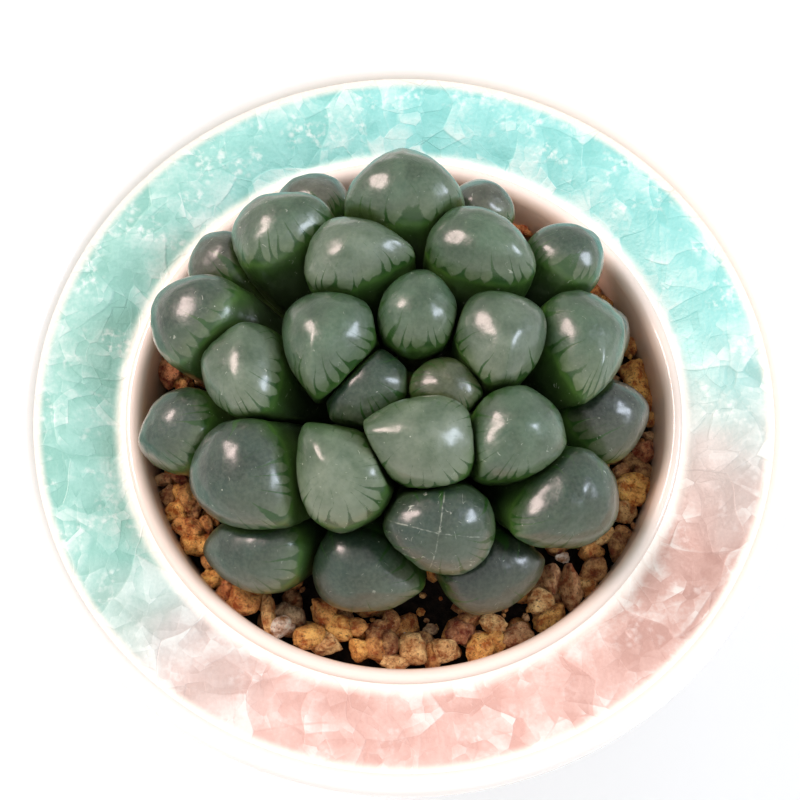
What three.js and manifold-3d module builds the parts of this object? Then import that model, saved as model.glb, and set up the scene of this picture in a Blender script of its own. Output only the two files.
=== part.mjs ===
// A window-leaved haworthia (the plump, round-tipped kind) in its small wide-rimmed porcelain pot.
// The pot is a footed bowl with a dished brim. A ring of thick crackle glass is fused into the brim's channel.
// Inside stand dark potting soil, a layer of golden grit, the plant's short stem and its fleshy leaves,
// which grow from the stem's dome and press flat against each other where they meet.
// Millimetres, +Z up. The origin is the centre of the foot ring's underside, and -Y is the front.
import * as THREE from "three";
import { mergeVertices } from "three/addons/utils/BufferGeometryUtils.js";
import Module from "manifold-3d";

const wasm = await Module();
wasm.setup();

// Driving dimensions
const CLEARANCE = 0.3; // between pieces that rest on or against each other
const RIM_RADIUS = 45;
const RIM_HEIGHT = 52.6;
const GLASS_OUTER = { radius: 42.3, height: 51.4 };
const GLASS_INNER = { radius: 32.6, height: 48.6 };
const GLASS_THICKNESS = 1.4;
const OPENING_RADIUS = 30.6;
const INNER_LIP_HEIGHT = 49.1;
const BODY_RADIUS = 34.6;
const FOOT_RADIUS = 22;
const FOOT_WIDTH = 3.6;
const FOOT_HEIGHT = 2.4;
const FLOOR_HEIGHT = 7;
const DRAIN_RADIUS = 4.5;
const POT_SEGMENTS = 44;

const SOIL_HEIGHT = 41.6;
const GRIT_BED_HEIGHT = 43.2;
const GRIT_TOP = 46.4; // the highest that a stone out in the open reaches
const GRIT_TOP_UNDER_LEAVES = 45.2;
const STEM = { x: 1, y: 0.5, domeHeight: 46, domeRadius: 7, neckRadius: 5.6, rootHeight: 30 };
const STEM_HOLE_RADIUS = 7.4;

// A closed body of revolution about Z, from a profile of (radius, height) points that closes on itself.
function turned(profile, segments = POT_SEGMENTS) {
  return new THREE.LatheGeometry([...profile, profile[0]], segments).rotateX(Math.PI / 2);
}

// Points of a THREE.Path without the repeats where two stretches meet.
function outline(path, divisions) {
  const points = path.getPoints(divisions);
  return points.filter((p, i) => i === 0 || p.distanceTo(points[i - 1]) > 1e-3);
}

// A THREE geometry as a solid that can be joined and cut, and back again.
function toSolid(geometry) {
  const bare = geometry.clone();
  bare.deleteAttribute("normal");
  bare.deleteAttribute("uv");
  const merged = mergeVertices(bare, 1e-4);
  return new wasm.Manifold(
    new wasm.Mesh({
      numProp: 3,
      vertProperties: merged.getAttribute("position").array,
      triVerts: new Uint32Array(merged.index.array),
    }),
  );
}

function toGeometry(solid) {
  const mesh = solid.getMesh();
  const geometry = new THREE.BufferGeometry();
  geometry.setAttribute("position", new THREE.BufferAttribute(mesh.vertProperties, 3));
  geometry.setIndex(new THREE.BufferAttribute(mesh.triVerts, 1));
  geometry.computeVertexNormals();
  return geometry;
}

// A small repeatable random source, the same on every run.
function randomFrom(seed) {
  let state = seed >>> 0;
  return () => {
    state = (state + 0x6d2b79f5) >>> 0;
    let t = state;
    t = Math.imul(t ^ (t >>> 15), t | 1);
    t ^= t + Math.imul(t ^ (t >>> 7), t | 61);
    return ((t ^ (t >>> 14)) >>> 0) / 4294967296;
  };
}

const degrees = (angle) => (angle * Math.PI) / 180;

// A soft step from 0 to 1
const smooth = (t) => {
  const c = Math.min(1, Math.max(0, t));
  return c * c * (3 - 2 * c);
};

// The pot: porcelain, cast in one piece, with a foot ring and a drain hole
// Radius and height of the points that shape its profile, from the drain hole round the outside to the inside.
const FOOT_INNER_RADIUS = FOOT_RADIUS - FOOT_WIDTH;
const FOOT_FLARE = 0.4; // how much wider the foot is at its top
const BODY_SHOULDER = { radius: BODY_RADIUS + 0.2, height: 40 };
const BRIM_UNDERSIDE = { radius: 38, height: 45.6 }; // where the brim leaves the body
const RIM_BEAD = 1.2; // half the thickness of the rounded outer lip
const WALL_TOP = { radius: 31.6, height: 45.5 };
const WALL_FOOT = { radius: 26.6, height: 14 }; // where the inside wall leaves the rounded floor
const FLOOR_RADIUS = 17;

function potGeometry() {
  const path = new THREE.Path();
  // the hollow under the floor, and the foot ring
  path.moveTo(DRAIN_RADIUS, FOOT_HEIGHT);
  path.lineTo(FOOT_INNER_RADIUS - 2 * FOOT_FLARE, FOOT_HEIGHT);
  path.lineTo(FOOT_INNER_RADIUS, 0);
  path.lineTo(FOOT_RADIUS, 0);
  path.lineTo(FOOT_RADIUS + FOOT_FLARE, FOOT_HEIGHT);
  // the bowl's outside, up to the brim's rounded lip
  path.bezierCurveTo(27, 5.5, BODY_RADIUS - 1, 16, BODY_RADIUS, 30);
  path.lineTo(BODY_SHOULDER.radius, BODY_SHOULDER.height);
  path.quadraticCurveTo(BODY_SHOULDER.radius + 0.4, 43.4, BRIM_UNDERSIDE.radius, BRIM_UNDERSIDE.height);
  path.lineTo(RIM_RADIUS - RIM_BEAD, RIM_HEIGHT - 3.2);
  path.bezierCurveTo(
    RIM_RADIUS + 0.5 * RIM_BEAD, RIM_HEIGHT - 2.2,
    RIM_RADIUS + 0.5 * RIM_BEAD, RIM_HEIGHT,
    RIM_RADIUS - RIM_BEAD, RIM_HEIGHT,
  );
  path.quadraticCurveTo(GLASS_OUTER.radius + 0.4, RIM_HEIGHT - 0.2, GLASS_OUTER.radius, GLASS_OUTER.height - 0.2);
  // the channel for the glass, and the lip round the opening
  path.lineTo(GLASS_OUTER.radius - 0.3, GLASS_OUTER.height - GLASS_THICKNESS);
  path.lineTo(GLASS_INNER.radius + 0.3, GLASS_INNER.height - GLASS_THICKNESS);
  path.lineTo(GLASS_INNER.radius, GLASS_INNER.height - 0.2);
  path.bezierCurveTo(
    GLASS_INNER.radius - 0.2, INNER_LIP_HEIGHT + 0.1,
    OPENING_RADIUS, INNER_LIP_HEIGHT + 0.2,
    OPENING_RADIUS, INNER_LIP_HEIGHT - 1,
  );
  // the inside wall and the floor
  path.lineTo(WALL_TOP.radius, WALL_TOP.height);
  path.lineTo(WALL_FOOT.radius, WALL_FOOT.height);
  path.quadraticCurveTo(WALL_FOOT.radius - 1, FLOOR_HEIGHT, FLOOR_RADIUS, FLOOR_HEIGHT);
  path.lineTo(DRAIN_RADIUS, FLOOR_HEIGHT);
  return turned(outline(path, 3));
}

// The inside wall's radius at a height, which the soil and the grit follow
function wallRadius(height) {
  const share = (height - WALL_FOOT.height) / (WALL_TOP.height - WALL_FOOT.height);
  return WALL_FOOT.radius + share * (WALL_TOP.radius - WALL_FOOT.radius);
}

// The crackle glass: one ring, melted into the brim's channel, its top crowned a little
const GLASS_CROWN = 0.5;

function glassGeometry() {
  const outer = GLASS_OUTER.radius - CLEARANCE - 0.1;
  const inner = GLASS_INNER.radius + CLEARANCE + 0.1;
  const underside = CLEARANCE - GLASS_THICKNESS;
  const middle = { radius: (outer + inner) / 2, height: (GLASS_OUTER.height + GLASS_INNER.height) / 2 };
  const path = new THREE.Path();
  path.moveTo(inner + 0.3, GLASS_INNER.height + underside);
  path.lineTo(outer - 0.3, GLASS_OUTER.height + underside);
  path.lineTo(outer, GLASS_OUTER.height - 0.2);
  path.quadraticCurveTo(middle.radius, middle.height + GLASS_CROWN, inner, GLASS_INNER.height);
  return turned(outline(path, 3));
}

// The hole that the stem stands in, from a height up past the top of the grit
function stemHole(from) {
  const depth = GRIT_TOP - from;
  const hole = new THREE.CylinderGeometry(STEM_HOLE_RADIUS, STEM_HOLE_RADIUS, depth, 24).rotateX(Math.PI / 2);
  return toSolid(hole.translate(STEM.x, STEM.y, from + depth / 2));
}

// Dark soil, which fills the pot to below its lip
function soilGeometry() {
  const floor = FLOOR_HEIGHT + CLEARANCE;
  const path = new THREE.Path();
  path.moveTo(0, floor);
  path.lineTo(FLOOR_RADIUS, floor);
  path.quadraticCurveTo(WALL_FOOT.radius - 2.2, floor + 1.7, WALL_FOOT.radius - 2 * CLEARANCE, WALL_FOOT.height + 1);
  path.lineTo(wallRadius(SOIL_HEIGHT) - CLEARANCE, SOIL_HEIGHT);
  path.lineTo(0, SOIL_HEIGHT);
  const filling = toSolid(turned(outline(path, 3)));
  return toGeometry(filling.subtract(stemHole(STEM.rootHeight - CLEARANCE)));
}

// Golden grit: a bed with stones of 2 to 4 mm sunk into it
// The stones in the open, placed by hand: x, y, half length, half width, and the way the length points in degrees.
const OPEN_STONES = [
  [-29, 6.5, 1.9, 1.2, 100], [-27, 5, 1, 0.8, -20], [-28.5, -7.5, 1.1, 0.6, 15], [-26.5, -7, 1, 0.7, -30],
  [-28, -9.5, 1.1, 0.8, 90], [-26.5, -9, 1, 0.7, 90], [-25, -9.5, 1.7, 1.1, 90], [-27, -11.5, 1.2, 1.1, 0],
  [-24.5, -11, 1, 0.9, 60], [-25, -13.5, 1.8, 1.1, -10], [-23, -13, 0.9, 0.7, 90], [-24, -15.5, 1.6, 1.4, 0],
  [-22, -17, 1, 1, 0], [-22, -19.5, 1.2, 1, -40], [-20.5, -20.5, 1, 0.9, 60], [-18, -22, 1.9, 1.3, -20],
  [-15.5, -23.5, 2, 0.6, 97], [-14, -23, 1, 0.8, 45], [-12.5, -23.5, 1.2, 1, 0], [-14, -25, 1.2, 1, 0],
  [-11, -26, 1.7, 1.3, 20], [-9, -27, 1.6, 1, -35], [-9, -23, 1.7, 1.2, -35], [-7.5, -25, 1.5, 1.1, -30],
  [-5.5, -25, 1.2, 0.8, 0], [-5, -27.5, 1.2, 1.1, 30], [-3, -25.5, 1.2, 1.1, 0], [-1.5, -24.5, 1.2, 0.9, 90],
  [-3, -27.5, 1.2, 1.2, 0], [-1.5, -27, 1.4, 1.1, 90], [-1, -29, 1.4, 0.7, 0], [1, -27.5, 1.7, 1.3, 90],
  [3, -28, 1.3, 1, 90], [4.5, -27.5, 1.6, 1.3, -20], [6.5, -25.5, 1.4, 1.3, 40], [7.5, -24, 1.2, 0.8, 20],
  [8.5, -27.5, 1.4, 1.3, 40], [10.5, -26.5, 1.1, 1.1, 0], [10.5, -24.5, 1.4, 1, 0], [13, -26, 1.6, 1.2, 25],
  [15.5, -22, 1.4, 1.2, 60], [16.5, -24, 1.9, 1.1, 30], [17, -19, 1.8, 1, 95], [19.5, -20.5, 2.1, 1, 100],
  [21.5, -16, 1.4, 1, 25], [22, -18.5, 1.6, 1.2, 30], [21.5, -20, 1.2, 1.1, 0], [25, -15.5, 1.4, 1.1, 80],
  [25.5, -11, 1.5, 1.2, -30], [25.5, -13.5, 1, 0.8, 0], [27, -8.5, 1.7, 1.5, 0], [29, -8.5, 1.6, 1.2, -70],
  [28.5, -6, 1.1, 1, 0], [28.5, -3.5, 1.3, 1.2, 40], [29.5, 0.5, 0.9, 0.8, 0], [30, 4.5, 1.1, 1, 90],
  [29, 7, 1.7, 1.4, 110], [28, 9.5, 1.1, 1, 110], [27, 11.5, 0.8, 0.7, 90], [25.5, 16, 1, 0.8, 0],
  [25.5, 18, 1.2, 0.9, 100], [15.5, 26.5, 1.1, 0.7, -20], [-25, 17.5, 0.9, 0.7, 0],
];
const HIDDEN_STONES = 34;
const GRIT_SEED = 2031;
const GRIT_RING = { inner: 16, outer: 30.6 };

// Every stone of the grit: those in the open, then more at random in the places that are still free.
function stones() {
  const random = randomFrom(GRIT_SEED);
  const placed = OPEN_STONES.map(([x, y, long, wide, turn]) => {
    const reach = Math.hypot(x, y);
    const inward = Math.min(1, (GRIT_RING.outer - 0.5 * (long + wide)) / reach);
    return { x: x * inward, y: y * inward, long, wide, turn: degrees(turn), top: GRIT_TOP };
  });
  const most = placed.length + HIDDEN_STONES;
  while (placed.length < most) {
    const size = 1.2 + 0.8 * random();
    const azimuth = 2 * Math.PI * random();
    const reach = GRIT_RING.inner + (GRIT_RING.outer - size - GRIT_RING.inner) * Math.sqrt(random());
    const x = reach * Math.cos(azimuth);
    const y = reach * Math.sin(azimuth);
    if (placed.some((s) => Math.hypot(s.x - x, s.y - y) < 0.85 * (s.long + size))) continue;
    const turn = Math.PI * random();
    placed.push({ x, y, long: size, wide: size * (0.7 + 0.25 * random()), turn, top: GRIT_TOP_UNDER_LEAVES });
  }
  return placed;
}

// One rounded, uneven stone, sunk into the bed
function stoneGeometry(stone, random) {
  const bare = new THREE.IcosahedronGeometry(1, 0);
  bare.deleteAttribute("normal");
  bare.deleteAttribute("uv");
  const geometry = mergeVertices(bare);
  const place = geometry.getAttribute("position");
  for (let i = 0; i < place.count; i++) {
    const swell = 0.98 + 0.32 * random();
    place.setXYZ(i, place.getX(i) * swell, place.getY(i) * swell, place.getZ(i) * swell);
  }
  const thick = 0.45 * (stone.long + stone.wide);
  geometry.scale(stone.long, stone.wide, thick).rotateX(0.5 * (random() - 0.5)).rotateZ(stone.turn);
  geometry.computeBoundingBox();
  const rise = Math.min(GRIT_BED_HEIGHT + 0.7 * thick, stone.top - geometry.boundingBox.max.z);
  return geometry.translate(stone.x, stone.y, rise);
}

function gritGeometry() {
  const floor = SOIL_HEIGHT + CLEARANCE;
  const ring = (height) => new THREE.Vector2(wallRadius(height) - CLEARANCE, height);
  const layer = (top) => turned([new THREE.Vector2(0, floor), ring(floor), ring(top), new THREE.Vector2(0, top)]);
  const random = randomFrom(GRIT_SEED + 1);
  const heaped = wasm.Manifold.union([
    toSolid(layer(GRIT_BED_HEIGHT)),
    ...stones().map((stone) => toSolid(stoneGeometry(stone, random))),
  ]);
  return toGeometry(heaped.intersect(toSolid(layer(GRIT_TOP))).subtract(stemHole(SOIL_HEIGHT)));
}

// A closed skin over rings of points, with a point or a flat cap at each end
function skin(rings, first, last) {
  const sides = rings[0].length;
  const points = [first, ...rings.flat(), last];
  const faces = [];
  const at = (ring, side) => 1 + ring * sides + (side % sides);
  for (let side = 0; side < sides; side++) {
    faces.push(0, at(0, side + 1), at(0, side));
    for (let ring = 0; ring < rings.length - 1; ring++) {
      faces.push(at(ring, side), at(ring, side + 1), at(ring + 1, side + 1));
      faces.push(at(ring, side), at(ring + 1, side + 1), at(ring + 1, side));
    }
    faces.push(at(rings.length - 1, side), at(rings.length - 1, side + 1), points.length - 1);
  }
  const geometry = new THREE.BufferGeometry().setFromPoints(points);
  geometry.setIndex(faces);
  geometry.computeVertexNormals();
  return geometry;
}

// The stem: a short stock in the soil, ending in the dome that the leaves grow from
const STEM_SIDES = 20;
const DOME_RINGS = 5;

function stemGeometry() {
  const { domeHeight, domeRadius, neckRadius, rootHeight } = STEM;
  const profile = [
    [0.45 * neckRadius, rootHeight],
    [0.9 * neckRadius, rootHeight + 3],
    [neckRadius, rootHeight + 8],
    [domeRadius, domeHeight - 3],
  ];
  for (let step = 0; step < DOME_RINGS; step++) {
    const rise = (step / DOME_RINGS) * (Math.PI / 2);
    profile.push([domeRadius * Math.cos(rise), domeHeight + domeRadius * Math.sin(rise)]);
  }
  const rings = profile.map(([radius, height]) =>
    Array.from({ length: STEM_SIDES }, (_, side) => {
      const turn = (2 * Math.PI * side) / STEM_SIDES;
      return new THREE.Vector3(STEM.x + radius * Math.cos(turn), STEM.y + radius * Math.sin(turn), height);
    }),
  );
  const foot = new THREE.Vector3(STEM.x, STEM.y, rootHeight);
  const top = new THREE.Vector3(STEM.x, STEM.y, domeHeight + domeRadius);
  return skin(rings, foot, top);
}

// Each leaf, placed by hand. head is the middle of its plump end. long and wide are half the length and half the
// width of the end seen along the leaf; the narrow corner of that outline points along corner, in degrees from +X,
// and point says how narrow it is. lean tips the end away from the stem, and down is where on the stem's dome the
// leaf grows, both in degrees from straight up.
const LEAVES = [
  { name: "leaf_crown_1", head: [4.8, -1.2, 57.6], long: 4.5, wide: 4.0, corner: 180, point: 0.1, lean: 5, down: 8 },
  { name: "leaf_crown_2", head: [1.6, 7.4, 59.4], long: 5.2, wide: 4.6, corner: 80, point: 0.1, lean: 10, down: 34 },
  { name: "leaf_crown_3", head: [10.7, 3.8, 59.4], long: 6.2, wide: 5.1, corner: 264, point: 0.35, lean: 12, down: 36 },
  { name: "leaf_crown_4", head: [1.5, -8.2, 60.2], long: 6.8, wide: 5.2, corner: 172, point: 0.3, lean: 12, down: 36 },
  { name: "leaf_crown_5", head: [-4.2, -0.6, 56.6], long: 5.2, wide: 4.6, corner: 225, point: 0.2, lean: 10, down: 34 },
  { name: "leaf_inner_1", head: [-8.5, 3.6, 59.4], long: 6.3, wide: 5.3, corner: 262, point: 0.35, lean: 16, down: 58 },
  { name: "leaf_inner_2", head: [-17.6, 0.8, 57.2], long: 6.4, wide: 4.9, corner: 296, point: 0.25, lean: 26, down: 72 },
  { name: "leaf_inner_3", head: [-7, -11.3, 58.4], long: 6.3, wide: 5.1, corner: 122, point: 0.32, lean: 20, down: 58 },
  { name: "leaf_inner_4", head: [11.7, -7.2, 58.4], long: 6.2, wide: 5.2, corner: 222, point: 0.3, lean: 18, down: 58 },
  { name: "leaf_inner_5", head: [-5.3, 14.3, 59.2], long: 6.2, wide: 4.9, corner: 0, point: 0.35, lean: 16, down: 60 },
  { name: "leaf_inner_6", head: [8.8, 15.2, 59], long: 6.6, wide: 5.0, corner: 330, point: 0.12, lean: 18, down: 60 },
  { name: "leaf_middle_1", head: [0.1, 22.8, 56.6], long: 6.0, wide: 6.9, corner: 90, point: 0.3, lean: 26, down: 78 },
  { name: "leaf_middle_2", head: [-14, 18.7, 56], long: 6.2, wide: 5.6, corner: 15, point: 0.25, lean: 30, down: 80 },
  { name: "leaf_middle_3", head: [-23.6, 8.3, 54.6], long: 6.5, wide: 5.9, corner: 150, point: 0.2, lean: 46, down: 82 },
  { name: "leaf_middle_4", head: [19.1, 16.4, 54.4], long: 5.2, wide: 4.6, corner: 45, point: 0.25, lean: 40, down: 82 },
  { name: "leaf_middle_5", head: [20.2, 4.6, 56], long: 7.0, wide: 5.1, corner: 262, point: 0.35, lean: 30, down: 74 },
  { name: "leaf_middle_6", head: [17.5, -13.4, 54.4], long: 6.9, wide: 5.3, corner: 206, point: 0.3, lean: 34, down: 80 },
  { name: "leaf_middle_7", head: [3.8, -16.6, 56.2], long: 6.3, wide: 5.1, corner: 168, point: 0.2, lean: 30, down: 76 },
  { name: "leaf_middle_8", head: [-17, -10.8, 55.4], long: 7.2, wide: 6.1, corner: 318, point: 0.25, lean: 34, down: 78 },
  { name: "leaf_outer_1", head: [-11, 24.5, 51.6], long: 4.8, wide: 4.5, corner: 150, point: 0.15, lean: 46, down: 90 },
  { name: "leaf_outer_2", head: [9.2, 24.4, 51.6], long: 4.3, wide: 4.0, corner: 90, point: 0.2, lean: 42, down: 90 },
  { name: "leaf_outer_3", head: [-21.4, 17.2, 51.2], long: 4.8, wide: 4.4, corner: 120, point: 0.2, lean: 46, down: 90 },
  { name: "leaf_outer_4", head: [22.6, 8.4, 50.6], long: 4.6, wide: 4.2, corner: 30, point: 0.2, lean: 42, down: 90 },
  { name: "leaf_outer_5", head: [23.2, -1.9, 50.6], long: 5.5, wide: 5.1, corner: 20, point: 0.25, lean: 42, down: 90 },
  { name: "leaf_outer_6", head: [10, -19.8, 49.8], long: 6.0, wide: 4.6, corner: 20, point: 0.15, lean: 40, down: 90 },
  { name: "leaf_outer_7", head: [-4.2, -20, 50.2], long: 6.3, wide: 4.8, corner: 345, point: 0.3, lean: 38, down: 90 },
  { name: "leaf_outer_8", head: [-16.4, -17.6, 50], long: 6.4, wide: 4.8, corner: 182, point: 0.15, lean: 38, down: 90 },
  { name: "leaf_outer_9", head: [-25.3, -4.1, 51.4], long: 5.4, wide: 5.0, corner: 190, point: 0.2, lean: 42, down: 90 },
];

const LEAF_SIDES = 12;
const BODY_RINGS = 6;
const TIP_RINGS = 3;
const BASE_SHARE = 0.42; // the leaf's thickness at the stem, as a share of its plump end
const TIP_SHARE = 0.95; // the height of the rounded tip, as a share of the half width
const CROWDING_GAP = 0.42; // between leaves that press against each other
const NEIGHBOUR_REACH = 26; // no leaf touches one whose end is further off

// The leaf's middle line as rings: each has its middle, its two directions and its half sizes.
function leafRings(leaf) {
  const head = new THREE.Vector3(...leaf.head);
  const stem = new THREE.Vector3(STEM.x, STEM.y, STEM.domeHeight);
  const out = Math.atan2(head.y - stem.y, head.x - stem.x);
  const towards = (polar) =>
    new THREE.Vector3(Math.sin(polar) * Math.cos(out), Math.sin(polar) * Math.sin(out), Math.cos(polar));
  const rootWay = towards(degrees(leaf.down));
  const axis = towards(degrees(leaf.lean));
  const root = stem.clone().addScaledVector(rootWay, STEM.domeRadius + CLEARANCE + 0.05);
  const reach = root.distanceTo(head);
  const line = new THREE.CubicBezierCurve3(
    root,
    root.clone().addScaledVector(rootWay, reach * 0.35),
    head.clone().addScaledVector(axis, -reach * 0.4),
    head,
  );
  const corner = degrees(leaf.corner);
  let long = new THREE.Vector3(Math.cos(corner), Math.sin(corner), 0);
  const rings = [];
  for (let step = BODY_RINGS; step >= 0; step--) {
    const share = step / BODY_RINGS;
    const way = step === BODY_RINGS ? axis : line.getTangent(share);
    long = long.clone().addScaledVector(way, -long.dot(way)).normalize();
    const swell = BASE_SHARE + (1 - BASE_SHARE) * smooth(share / 0.85);
    const form = smooth(share);
    const round = (leaf.long + leaf.wide) / 2;
    rings.unshift({
      middle: line.getPoint(share),
      way,
      long,
      wide: way.clone().cross(long),
      halfLong: swell * (round * (1 - form) + leaf.long * form),
      halfWide: swell * (round * (1 - form) + leaf.wide * form),
      point: leaf.point * form,
    });
  }
  return rings;
}

// Balls along the leaf, which stand for it when its neighbours press against it.
function leafBalls(rings) {
  return rings.flatMap((ring) => {
    const spare = ring.halfLong - ring.halfWide;
    const radius = Math.min(ring.halfLong, ring.halfWide);
    const way = spare > 0 ? ring.long : ring.wide;
    return [-0.8, 0, 0.8].map((side) => ({
      middle: ring.middle.clone().addScaledVector(way, side * Math.abs(spare)),
      radius: radius * (side > 0 ? 1 - 0.5 * ring.point : 1),
    }));
  });
}

const depthIn = (balls, point) => Math.min(...balls.map((b) => b.middle.distanceTo(point) - b.radius));

// True where a point is clear of the pot's lip, the grit and the stem's dome.
function clearOfPot(point) {
  const reach = Math.hypot(point.x, point.y);
  const ground = reach > GRIT_RING.inner - 2.5 ? GRIT_TOP_UNDER_LEAVES : GRIT_BED_HEIGHT;
  if (point.z < ground + CLEARANCE) return false;
  if (point.z < INNER_LIP_HEIGHT + CLEARANCE + 0.1 && reach > OPENING_RADIUS - CLEARANCE) return false;
  const dome = new THREE.Vector3(STEM.x, STEM.y, STEM.domeHeight);
  return point.distanceTo(dome) > STEM.domeRadius + CLEARANCE;
}

// The point on the way from the leaf's middle line to its free surface where a neighbour or the pot stops it.
function pressed(middle, free, own, others) {
  const steps = 16;
  const leastSteps = 2; // keeps the leaf from being pinched off
  let reached = middle;
  for (let step = 1; step <= steps; step++) {
    const point = middle.clone().lerp(free, step / steps);
    const depth = depthIn(own, point) + CROWDING_GAP;
    const stopped = others.some((balls) => depthIn(balls, point) < depth) || !clearOfPot(point);
    if (stopped && step > leastSteps) return reached;
    reached = point;
  }
  return free;
}

function leafGeometry(index, allRings, allBalls) {
  const leaf = LEAVES[index];
  const rings = allRings[index];
  const own = allBalls[index];
  const head = rings[rings.length - 1];
  const others = allBalls.filter((balls, other) => {
    const far = new THREE.Vector3(...LEAVES[other].head).distanceTo(head.middle);
    return other !== index && far < NEIGHBOUR_REACH;
  });
  const section = (ring, middle, size, side) => {
    const turn = (2 * Math.PI * side) / LEAF_SIDES;
    const along = ring.halfLong * size * Math.cos(turn);
    const across = ring.halfWide * size * Math.sin(turn) * (1 - ring.point * Math.cos(turn));
    return middle.clone().addScaledVector(ring.long, along).addScaledVector(ring.wide, across);
  };
  const layers = rings.map((ring) =>
    Array.from({ length: LEAF_SIDES }, (_, side) =>
      pressed(ring.middle, section(ring, ring.middle, 1, side), own, others),
    ),
  );
  const tipHeight = TIP_SHARE * leaf.wide;
  for (let step = 1; step <= TIP_RINGS; step++) {
    const rise = (step / (TIP_RINGS + 1)) * (Math.PI / 2);
    const middle = head.middle.clone().addScaledVector(head.way, tipHeight * Math.sin(rise));
    layers.push(
      Array.from({ length: LEAF_SIDES }, (_, side) =>
        pressed(head.middle, section(head, middle, Math.cos(rise), side), own, others),
      ),
    );
  }
  const tip = head.middle.clone().addScaledVector(head.way, tipHeight);
  return skin(layers, rings[0].middle, pressed(head.middle, tip, own, others));
}

// The assembly: the potted ground and the rosette, whose leaves are each placed where they leave the stem
const porcelain = new THREE.MeshStandardMaterial({ color: 0xf4e8df, roughness: 0.22, metalness: 0 });
const crackleGlass = new THREE.MeshStandardMaterial({ color: 0xb5ded6, roughness: 0.08, metalness: 0 });
const darkSoil = new THREE.MeshStandardMaterial({ color: 0x2a201b, roughness: 0.95, metalness: 0 });
const bakedClayGrit = new THREE.MeshStandardMaterial({ color: 0xbf8a4c, roughness: 0.85, metalness: 0 });
const stemSkin = new THREE.MeshStandardMaterial({ color: 0x56702f, roughness: 0.6, metalness: 0 });

// The young leaves in the middle are the palest, and the old ones outside the darkest.
const LEAF_TONES = { crown: 0x788c78, inner: 0x6b8172, middle: 0x5e7767, outer: 0x4a6155 };

function piece(name, geometry, material) {
  const mesh = new THREE.Mesh(geometry, material);
  mesh.name = name;
  return mesh;
}

function leafPiece(leaf, index, rings, balls) {
  const tier = leaf.name.split("_")[1];
  const skinOfLeaf = new THREE.MeshStandardMaterial({ color: LEAF_TONES[tier], roughness: 0.28, metalness: 0 });
  const mesh = piece(leaf.name, leafGeometry(index, rings, balls), skinOfLeaf);
  const root = rings[index][0].middle;
  mesh.geometry.translate(-root.x, -root.y, -root.z);
  mesh.position.copy(root);
  return mesh;
}

const pottedGround = new THREE.Group();
pottedGround.add(
  piece("pot", potGeometry(), porcelain),
  piece("crackle_glass_ring", glassGeometry(), crackleGlass),
  piece("potting_soil", soilGeometry(), darkSoil),
  piece("grit_top_dressing", gritGeometry(), bakedClayGrit),
);

const leafSections = LEAVES.map(leafRings);
const leafStandIns = leafSections.map(leafBalls);
const rosette = new THREE.Group();
rosette.add(
  piece("stem", stemGeometry(), stemSkin),
  ...LEAVES.map((leaf, index) => leafPiece(leaf, index, leafSections, leafStandIns)),
);

const haworthia = new THREE.Group();
haworthia.add(pottedGround, rosette);

export default haworthia;
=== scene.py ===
"""Looks of a potted haworthia: a window-leaved rosette in golden grit, in a small porcelain pot whose wide
brim holds a ring of crackle glass. The file goes from the pot up to the leaves, then the studio."""

import functools
import math

import bpy
import numpy as np
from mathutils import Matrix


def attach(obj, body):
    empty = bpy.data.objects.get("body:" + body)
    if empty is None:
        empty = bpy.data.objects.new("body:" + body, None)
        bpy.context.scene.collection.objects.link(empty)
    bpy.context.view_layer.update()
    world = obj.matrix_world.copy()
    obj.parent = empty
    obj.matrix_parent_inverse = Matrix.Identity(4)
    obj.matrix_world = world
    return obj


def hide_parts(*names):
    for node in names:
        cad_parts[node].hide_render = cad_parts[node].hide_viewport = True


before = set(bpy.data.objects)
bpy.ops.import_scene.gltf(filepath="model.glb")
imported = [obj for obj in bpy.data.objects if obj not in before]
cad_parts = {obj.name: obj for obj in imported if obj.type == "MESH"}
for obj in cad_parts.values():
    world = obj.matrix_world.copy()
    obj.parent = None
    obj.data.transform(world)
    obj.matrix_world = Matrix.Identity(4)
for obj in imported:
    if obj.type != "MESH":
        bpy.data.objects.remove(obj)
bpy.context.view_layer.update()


# Pot
# A footed bowl with a wide dished brim, slip-cast in white porcelain and glazed all over but for the foot's
# ring. The brim has a channel for the glass between a thick outer lip and a thin lip round the opening.
MM = 0.001
POT_TURNS = 224
DRAIN_RADIUS = 4.5
OPENING_RADIUS = 30.5
OPENING_HEIGHT = 47.8
LIP_CREAM = "FAF1E6"


def curve(*corners, steps):
    """A Bezier curve from its first to its last corner: each corner weighs as its Bernstein polynomial."""
    order = len(corners) - 1
    share = np.linspace(0, 1, steps + 1)[:, None]
    weights = [math.comb(order, k) * share**k * (1 - share) ** (order - k) for k in range(order + 1)]
    return np.hstack(weights) @ np.array(corners, float)


def along(*stretches):
    """One path out of several stretches of points, without the repeats where two of them meet."""
    path = np.vstack(stretches)
    apart = np.linalg.norm(np.diff(path, axis=0), axis=1) > 1e-4
    return path[np.append(True, apart)]


def turned(path, turns):
    """Rings of a body turned about Z: one circle for each path point, (radius, height), in equal steps."""
    angle = np.linspace(0, 2 * np.pi, turns, endpoint=False)
    radius, height = path[:, 0, None], path[:, 1, None]
    return np.stack([radius * np.cos(angle), radius * np.sin(angle), height + 0 * angle], axis=-1)


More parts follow.
